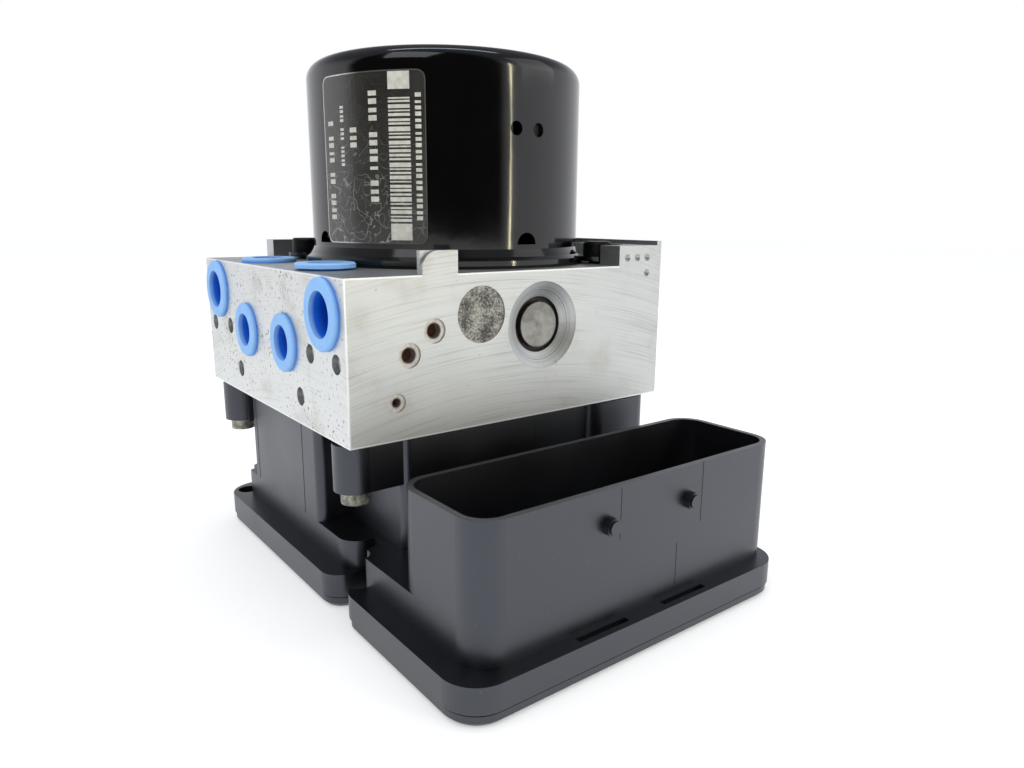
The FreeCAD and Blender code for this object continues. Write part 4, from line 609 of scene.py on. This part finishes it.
# %% Finishes of all solids
housing_nylon = moulded_nylon("black_nylon_housing", "#070708", "#0f0f11")
cover_nylon = moulded_nylon("black_nylon_cover", "#060607", "#0c0c0d")
paint = gloss_black_paint()
polyethylene = blue_polyethylene()
# Turned or ground steel: bright, with a fine lay round the axis.
ground_steel = grained("ground_steel", "#a9a9a8", "#c3c3c2", 0.6, 0.3, 1, stretch=6)
# Nitrile rubber: matt black with a soft bloom.
rubber = grained("nitrile_rubber", "#0b0b0b", "#181818", 1.5, 0.75)
# Stacked core sheet: grey steel, each sheet 0.5 mm, so the grain is flat and layered.
core_sheet = grained("stacked_core_sheet", "#5a5a5c", "#86868a", 3, 0.45, 1, 0.03, 14)
# Sintered ferrite: dull dark grey ceramic.
ferrite = grained("ferrite", "#2b2b2d", "#3b3b3e", 0.7, 0.7)
# Enamelled copper wire: warm orange-brown and glossy.
copper_wire = grained("enamelled_copper", "#8a3f1c", "#c06a34", 0.8, 0.32, 0.9, 0.05)
# Pressed carbon and graphite: black-grey with a faint shine.
carbon = grained("carbon_brush", "#19191a", "#2c2c2d", 0.4, 0.5)
# Moulded phenolic for the brush plate: very dark brown, satin.
phenolic = grained("moulded_phenolic", "#17120f", "#241d19", 0.6, 0.5)
# Acetal for guides and pistons: milky white, waxy.
acetal = grained("natural_acetal", "#d6d1c0", "#e7e3d6", 2, 0.4)
# Bobbins wound with copper under tape: red-brown and satin.
bobbin = grained("wound_bobbin", "#5b2412", "#7d3a1d", 0.5, 0.5, 0.1, 0.05, 4)
# Solder resist over glass laminate: deep green, glossy.
solder_resist = grained("green_solder_resist", "#0b4423", "#12592f", 1.2, 0.3)
# Moulded epoxy of chips and sleeves of capacitors: dark and matt.
epoxy = grained("black_epoxy", "#161617", "#242426", 0.3, 0.6)
# Tinned copper alloy of the pins: pale, softly bright.
tinned = grained("tinned_alloy", "#b9b6ad", "#d3d0c8", 0.5, 0.28, 1)
# Zinc-nickel plating gone dull on the housing screws: grey-brown and blotched.
dull_zinc = speckled_steel("dull_zinc_screw", "#6f6d64", "#b3b0a3", 1.2)
# Plated plugs and covers: a quiet grey whose specks hardly show.
PLUG_LOOK = ("#8a8986", "#9d9c98", 3)
plug_steel = speckled_steel("plug_steel", *PLUG_LOOK)
# Black oxide on the motor screws: dark, with rubbed grey edges.
black_oxide = grained("black_oxide", "#151515", "#2c2b2a", 0.5, 0.42, 0.8)
print("finishes:", len(bpy.data.materials))

# %% [markdown]
# The CAD record names a material slot for each solid, so one table dresses all of them.

# %% Give each solid the finish of its slot
FINISHES = {
    "block": milled_aluminium(), "can": paint, "screw_dark": black_oxide,
    "screw_pale": dull_zinc, "cap": polyethylene, "housing": housing_nylon,
    "cover": cover_nylon, "seal": rubber, "steel": ground_steel, "plug_steel": plug_steel,
    "magnet": ferrite, "lamination": core_sheet, "copper": copper_wire, "carbon": carbon,
    "carrier": phenolic, "sleeve": acetal, "coil": bobbin, "board": solder_resist,
    "chip": epoxy, "pin": tinned,
}
for subpart in frame["record"]["subparts"]:
    node = frame["nodes"][subpart["node"]]
    node.data.materials.clear()
    node.data.materials.append(FINISHES[subpart["material_slot"]])
print("slots:", len(FINISHES))

# %% [markdown]
# Two pieces look different from the rest of their slot. The pump plugs have a clean face
# and a crust of dirt round the side, and the disc beside them has small, sharp specks.

# %% Soiled pump plugs and the speckled disc
CRUST_RADIUS = 6.1 * MM


def soiled_plug():
    # Turned steel: a clean grey face, and a dark crust of dirt round its side.
    made = speckled_steel("soiled_plug_steel", *PLUG_LOOK)
    tree = made.node_tree
    socket = tree.nodes["Principled BSDF"].inputs["Base Color"]
    place = add(tree, "ShaderNodeTexCoord").outputs["Object"]
    crust = add(tree, "ShaderNodeMapRange", {"From Min": CRUST_RADIUS - SOFT_EDGE,
                                             "From Max": CRUST_RADIUS, "To Max": 0.92},
                {"Value": from_pump_axis(tree, place)})
    colour = add(tree, "ShaderNodeMix", {"data_type": "RGBA", 7: srgb("#1f1814")},
                 {0: crust.outputs["Result"], 6: socket.links[0].from_socket})
    tree.links.new(colour.outputs[2], socket)
    return made


frame["nodes"]["pump_plugs"].data.materials[0] = soiled_plug()
speckled_disc = speckled_steel("speckled_disc", "#50504d", "#aeaca4", 0.42)
frame["nodes"]["damper_cover"].data.materials[0] = speckled_disc
print("pump plugs:", frame["nodes"]["pump_plugs"].data.materials[0].name)

# %% [markdown]
# The small pressed plugs are pale steel rings round a brown, rusty middle. One material
# does both: the distance from each plug's own axis picks the colour. The three axes are
# given by where the plugs sit on the front face.

# %% Rusty plugs in the front face
# In millimetres: from the block's left, above its bottom, and the radius of the hollow.
PLUGS = ((23.1, 25.6, 1.9), (16.1, 20.3, 1.9), (12.5, 9.3, 1.15))
RUST_EDGE_MM = 0.35


def rusty_plug():
    # Pressed steel cup: a bright ring, and rust where water stood in the hollow.
    made, tree, shader, place = finish("rusty_plug", Metallic=0.55)
    flat = add(tree, "ShaderNodeVectorMath", {"operation": "MULTIPLY", 1: (1, 0, 1)}, {0: place})
    rusted = None
    for from_left, height, hollow in PLUGS:
        axis = (left + from_left * MM, 0, block_bottom + height * MM)
        away = add(tree, "ShaderNodeVectorMath", {"operation": "DISTANCE", 1: axis},
                   {0: flat.outputs[0]})
        inside = add(tree, "ShaderNodeMapRange", {"From Min": (hollow + RUST_EDGE_MM) * MM,
                                                  "From Max": (hollow - RUST_EDGE_MM) * MM},
                     {"Value": away.outputs["Value"]}).outputs["Result"]
        if rusted is not None:
            inside = add(tree, "ShaderNodeMath", {"operation": "MAXIMUM"},
                         {0: inside, 1: rusted}).outputs[0]
        rusted = inside
    spots = add(tree, "ShaderNodeTexNoise", {"Scale": per_mm(0.8), "Detail": 5}, {"Vector": place})
    ring = add(tree, "ShaderNodeMix", {"data_type": "RGBA", 6: srgb("#9a918b"),
                                       7: srgb("#e0dcd7")}, {0: spots.outputs["Fac"]})
    rust = add(tree, "ShaderNodeMix", {"data_type": "RGBA", 6: srgb("#2a120b"),
                                       7: srgb("#5c3a26")}, {0: spots.outputs["Fac"]})
    colour = add(tree, "ShaderNodeMix", {"data_type": "RGBA"},
                 {0: rusted, 6: ring.outputs[2], 7: rust.outputs[2]})
    rough = add(tree, "ShaderNodeMapRange", {"To Min": 0.4, "To Max": 0.8}, {"Value": rusted})
    connect(tree, shader, Base_Color=colour.outputs[2], Roughness=rough.outputs["Result"])
    return made


frame["nodes"]["drilling_plugs"].data.materials[0] = rusty_plug()
print("rusty plugs:", len(PLUGS))

# %% [markdown]
# From here on new pieces are added. Each is made in a bmesh, gets its finish and rides on
# the module's body.

# %% Helper: a finished piece
def dressed(name, bm, material, body="module"):
    """Turns a finished bmesh into a piece that rides on a body."""
    mesh = bpy.data.meshes.new(name)
    bm.to_mesh(mesh)
    bm.free()
    mesh.materials.append(material)
    piece = bpy.data.objects.new(name, mesh)
    bpy.context.scene.collection.objects.link(piece)
    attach(piece, body)
    print(name, len(mesh.polygons), "faces")
    return piece


# %% [markdown]
# The cover gasket is a soft rubber frame that hardly shows between cover and housing. It is
# cut a little smaller than the lid, so a copy of the solid is trimmed at the right, inside
# the cover's edge, and the cut is closed. The solid stays for contact.

# %% Trimmed cover gasket
TRIM, MERGE = 0.4 * MM, 0.001 * MM
cover_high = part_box("ecu_cover")[1]


def merged_copy(node):
    """A bmesh of a solid whose loose triangles share their corners."""
    bm = bmesh.new()
    bm.from_mesh(frame["nodes"][node].data)
    bmesh.ops.remove_doubles(bm, verts=bm.verts[:], dist=MERGE)
    return bm


bm = merged_copy("cover_gasket")
bmesh.ops.bisect_plane(bm, geom=bm.verts[:] + bm.edges[:] + bm.faces[:],
                       plane_co=(cover_high.x - TRIM, 0, 0), plane_no=(1, 0, 0), clear_outer=True)
bmesh.ops.holes_fill(bm, edges=[edge for edge in bm.edges if edge.is_boundary], sides=0)
print("open edges left:", sum(edge.is_boundary for edge in bm.edges))
gasket = dressed("trimmed_gasket", bm, rubber)
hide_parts("cover_gasket")

# %% [markdown]
# The two accumulator springs shorten as their pistons slide towards the covers. A stiff
# solid can't do that, so a copy of each stands for it, and the solid is hidden.

# %% Copies that stand for the two springs
for side in ("front", "rear"):
    node, slide = "accumulator_spring_" + side, "accumulator_%s_slide" % side
    spring = dressed("live_spring_" + side, merged_copy(node), ground_steel)
    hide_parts(node)
    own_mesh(spring)

# %% [markdown]
# The label is a thin film that follows the can. It is made flat first, where a rectangle
# with bevelled corners is easy, then cut into narrow columns and rolled on to the can's
# radius.

# %% Helpers for thin pieces on the can
CAN_RADIUS = 39.9 * MM
COLUMN_MM = 1.3


def flat_patch(bm, low, high, corner=0.0):
    """A flat rectangle in X and Y between two corners, its corners rounded, in millimetres."""
    made = bmesh.ops.create_grid(bm, x_segments=1, y_segments=1, size=0.5)
    size = (high[0] - low[0], high[1] - low[1], 1)
    middle = ((low[0] + high[0]) / 2, (low[1] + high[1]) / 2, 0)
    bmesh.ops.scale(bm, vec=size, verts=made["verts"])
    bmesh.ops.translate(bm, vec=middle, verts=made["verts"])
    if corner:
        bmesh.ops.bevel(bm, geom=made["verts"], offset=corner, segments=6, profile=0.5,
                        affect="VERTICES", material=-1)


def roll_on_can(bm, lift_mm, thick_mm):
    """Cuts flat patches into columns, thickens them and rolls them round the motor's axis."""
    spread = [vert.co.x for vert in bm.verts]
    at = min(spread) + COLUMN_MM
    while at < max(spread):
        bmesh.ops.bisect_plane(bm, geom=bm.verts[:] + bm.edges[:] + bm.faces[:],
                               plane_co=(at, 0, 0), plane_no=(1, 0, 0))
        at += COLUMN_MM
    raised = bmesh.ops.extrude_face_region(bm, geom=bm.faces[:])["geom"]
    bmesh.ops.translate(bm, vec=(0, 0, thick_mm),
                        verts=[part for part in raised if isinstance(part, bmesh.types.BMVert)])
    for vert in bm.verts:
        angle = vert.co.x * MM / CAN_RADIUS
        reach = CAN_RADIUS + (lift_mm + vert.co.z) * MM
        vert.co = (reach * math.cos(angle), reach * math.sin(angle),
                   block_bottom + vert.co.y * MM)
    bmesh.ops.recalc_face_normals(bm, faces=bm.faces[:])


def arc_mm(degrees):
    """Length along the can's wall, in millimetres, at this angle about its axis."""
    return math.radians(degrees) * CAN_RADIUS / MM


# %% [markdown]
# The film is printed polyester. Its lower left corner is the most worn: the scratches
# are palest there, and they fade upwards and to the right.

# %% Label film
LABEL_START, LABEL_END = -176.0, -129.5
LABEL_LOW_MM, LABEL_HIGH_MM, LABEL_CORNER_MM = 45.3, 87.9, 2.2
# Where wear begins and is full: height above the block's bottom, and X.
WORN_FROM_Z, WORN_TO_Z = block_bottom + 78 * MM, block_bottom + 46 * MM
WORN_FROM_X, WORN_TO_X = -24 * MM, -34 * MM
# Scratches: how far one wanders, in millimetres, and how much of the noise it takes.
HAIRS = ((7, 0.008), (3, 0.012))


def label_outline():
    """The label's flat outline, in millimetres along the can and up from the block."""
    bm = bmesh.new()
    flat_patch(bm, (arc_mm(LABEL_START), LABEL_LOW_MM), (arc_mm(LABEL_END), LABEL_HIGH_MM),
               LABEL_CORNER_MM)
    return bm


def hairlines(tree, place, size_mm, width):
    """Thin wandering lines: where a noise passes through its middle value."""
    noise = add(tree, "ShaderNodeTexNoise", {"Scale": per_mm(size_mm), "Detail": 1.5,
                                             "Distortion": 0.5}, {"Vector": place})
    away = add(tree, "ShaderNodeMath", {"operation": "SUBTRACT", 1: 0.5},
               {0: noise.outputs["Fac"]})
    apart = add(tree, "ShaderNodeMath", {"operation": "ABSOLUTE"}, {0: away.outputs[0]})
    return add(tree, "ShaderNodeMapRange", {"From Min": width, "From Max": 0},
               {"Value": apart.outputs[0]}).outputs["Result"]


def label_film():
    # Printed polyester: dark grey, satin, with hair scratches and a worn lower corner.
    made, tree, shader, place = finish("printed_polyester", IOR=1.58, Specular_IOR_Level=0.8)
    cloud = add(tree, "ShaderNodeTexNoise", {"Scale": per_mm(14), "Detail": 4}, {"Vector": place})
    ground = add(tree, "ShaderNodeMix", {"data_type": "RGBA", 6: srgb("#1d1b17"),
                                         7: srgb("#34322e")}, {0: cloud.outputs["Fac"]})
    scratches = add(tree, "ShaderNodeMath", {"operation": "MAXIMUM"},
                    {number: hairlines(tree, place, *hair) for number, hair in enumerate(HAIRS)})
    parts = add(tree, "ShaderNodeSeparateXYZ", links={0: place})
    low_down = add(tree, "ShaderNodeMapRange", {"From Min": WORN_FROM_Z, "From Max": WORN_TO_Z,
                                                "To Min": 0.05, "To Max": 0.75},
                   {"Value": parts.outputs["Z"]})
    sideways = add(tree, "ShaderNodeMapRange", {"From Min": WORN_FROM_X, "From Max": WORN_TO_X,
                                                "To Min": 0.1}, {"Value": parts.outputs["X"]})
    patchy = add(tree, "ShaderNodeMath", {"operation": "MULTIPLY"},
                 {0: low_down.outputs["Result"], 1: sideways.outputs["Result"]})
    worn = add(tree, "ShaderNodeMath", {"operation": "MULTIPLY"},
               {0: scratches.outputs[0], 1: patchy.outputs[0]})
    colour = add(tree, "ShaderNodeMix", {"data_type": "RGBA", 7: srgb("#b7b5ac")},
                 {0: worn.outputs[0], 6: ground.outputs[2]})
    rough = add(tree, "ShaderNodeMapRange", {"To Min": 0.18, "To Max": 0.34},
                {"Value": cloud.outputs["Fac"]})
    connect(tree, shader, Base_Color=colour.outputs[2], Roughness=rough.outputs["Result"])
    return made


bm = label_outline()
roll_on_can(bm, lift_mm=0.02, thick_mm=0.1)
dressed("label", bm, label_film())

# %% [markdown]
# The film's cut edge shows as a fine rim. It has lifted a little at the left, where it
# catches the light, and there it is painted pale as a painted highlight. The rim is the
# same outline, inset, without its inner face.

# %% Rim of the film
RIM_MM = 0.28
RIM_HIGHLIGHT_FROM_X, RIM_HIGHLIGHT_TO_X = -36.5 * MM, -38.8 * MM


def film_edge():
    # Cut polyester edge: grimy grey, with a painted highlight at the left where it has lifted.
    made, tree, shader, place = finish("film_edge", Roughness=0.35)
    spots = add(tree, "ShaderNodeTexNoise", {"Scale": per_mm(2), "Detail": 4}, {"Vector": place})
    pale = add(tree, "ShaderNodeMix", {"data_type": "RGBA", 6: srgb("#bab9b3"),
                                       7: srgb("#e6e5e1")}, {0: spots.outputs["Fac"]})
    parts = add(tree, "ShaderNodeSeparateXYZ", links={0: place})
    # Painted highlight: the rim is painted pale at the left, where the lifted edge catches the
    # light.
    painted_rim_highlight = add(tree, "ShaderNodeMapRange", {"From Min": RIM_HIGHLIGHT_FROM_X, "From Max": RIM_HIGHLIGHT_TO_X},
                 {"Value": parts.outputs["X"]})
    colour = add(tree, "ShaderNodeMix", {"data_type": "RGBA", 6: srgb("#504f4a")},
                 {0: painted_rim_highlight.outputs["Result"], 7: pale.outputs[2]})
    connect(tree, shader, Base_Color=colour.outputs[2])
    return made


bm = label_outline()
bmesh.ops.inset_individual(bm, faces=bm.faces[:], thickness=RIM_MM, use_even_offset=True)
inner = max(bm.faces, key=lambda face: face.calc_area())
bmesh.ops.delete(bm, geom=[inner], context="FACES")
roll_on_can(bm, lift_mm=0.1, thick_mm=0.05)
dressed("label_rim", bm, film_edge())

# %% [markdown]
# The label carries a column of bars between two pale fields, and rows of small blank
# blocks. Bars, gaps and blocks follow fixed cycles of widths, so they have an even rhythm
# and say nothing.

# %% Bars and blank blocks on the label
BAR_START, BAR_END = -143.5, -135.3
BAR_LOW, BAR_HIGH = 46.3, 87.5
FIELD_MM, FIRST_GAP_MM, LAST_GAP_MM = 4.2, 0.5, 0.4
BAR_WIDTHS = (0.7, 0.36, 0.9, 0.5, 0.36, 1.1, 0.5, 0.62)
BAR_GAPS = (0.4, 0.5, 0.32, 0.6, 0.42)
BLOCK_WIDTHS = (1.0, 0.8, 1.0, 0.9, 0.6)
BLOCK_SHARE = 0.66
# Rows: angle from, angle to, height of the first block, spacing, blocks in each group.
ROWS = (
    (-173.1, -169.9, 51.5, 1.85, (4, 2, 4, 1)),
    (-165.6, -163.8, 65.2, 1.1, (5, 3, 4)),
    (-160.6, -157.4, 69.7, 1.85, (3,)),
    (-151.6, -148.2, 56.0, 2.0, (3, 5, 4)),
    (-133.4, -131.2, 51.4, 1.5, (21,)),
)

bm = bmesh.new()
low, high = arc_mm(BAR_START), arc_mm(BAR_END)
flat_patch(bm, (low, BAR_LOW), (high, BAR_LOW + FIELD_MM))
flat_patch(bm, (low, BAR_HIGH - FIELD_MM), (high, BAR_HIGH))
at, count = BAR_LOW + FIELD_MM + FIRST_GAP_MM, 0
while at + max(BAR_WIDTHS) < BAR_HIGH - FIELD_MM - LAST_GAP_MM:
    width = BAR_WIDTHS[count % len(BAR_WIDTHS)]
    flat_patch(bm, (low, at), (high, at + width))
    at += width + BAR_GAPS[count % len(BAR_GAPS)]
    count += 1
print("bars:", count)
for start, end, bottom, spacing, groups in ROWS:
    first = 0
    for group in groups:
        for step in range(first, first + group):
            low_edge = bottom + step * spacing
            wide = spacing * BLOCK_SHARE * BLOCK_WIDTHS[step % len(BLOCK_WIDTHS)]
            flat_patch(bm, (arc_mm(start), low_edge), (arc_mm(end), low_edge + wide))
        first += group + 1
roll_on_can(bm, lift_mm=0.11, thick_mm=0.03)
# Printing ink: a warm pale grey, duller than the film it lies on.
ink = grained("pale_ink", "#bdbbb0", "#dbd9ce", 1.5, 0.4)
dressed("label_print", bm, ink)

# %% [markdown]
# Where two halves of the mould meet, the plastic carries a hair-thin raised line. A few
# show on the shroud and on the body. Each is a thin bar, all of them in one piece.

# %% Mould lines
LINE_MM, PROUD_MM = 0.2, 0.08
TRAY_TOP, BODY_TOP = 17.4, 47.7
shroud_front, body_front, body_left = front - 41.4 * MM, front + 4.0 * MM, left + 6.1 * MM
# Lines on faces that look to the front: from the left, from height to height, face.
UPRIGHTS = ((46.0, 29.1, 41.5, shroud_front), (74.5, 26.5, 42.1, shroud_front),
            (66.0, 11.6, 22.8, shroud_front), (32.0, TRAY_TOP, 46.1, body_front),
            (57.8, TRAY_TOP, 46.1, body_front))
# One level line joins the last two along the body's front: from left to left, and height.
LEVEL = (32.0, 57.8, 46.1)
# Lines on the body's left wall: from the front, between the tray and the body's top.
LEFT_LINES = (44.3, 81.2)


def thin_bar(bm, low, high):
    """A bar between two corners, in metres."""
    made = bmesh.ops.create_cube(bm, size=1)["verts"]
    size = Vector(high) - Vector(low)
    bmesh.ops.scale(bm, vec=size, verts=made)
    bmesh.ops.translate(bm, vec=Vector(low) + size / 2, verts=made)


bm = bmesh.new()
for from_left, bottom, top, face in UPRIGHTS:
    x = left + from_left * MM
    thin_bar(bm, (x, face - PROUD_MM * MM, bottom * MM),
             (x + LINE_MM * MM, face + PROUD_MM * MM, top * MM))
start, end, top = LEVEL
thin_bar(bm, (left + start * MM, body_front - PROUD_MM * MM, (top - LINE_MM) * MM),
         (left + end * MM, body_front + PROUD_MM * MM, top * MM))
for from_front in LEFT_LINES:
    y = front + from_front * MM
    thin_bar(bm, (body_left - PROUD_MM * MM, y, TRAY_TOP * MM),
             (body_left + PROUD_MM * MM, y + LINE_MM * MM, BODY_TOP * MM))
dressed("mould_lines", bm, housing_nylon)
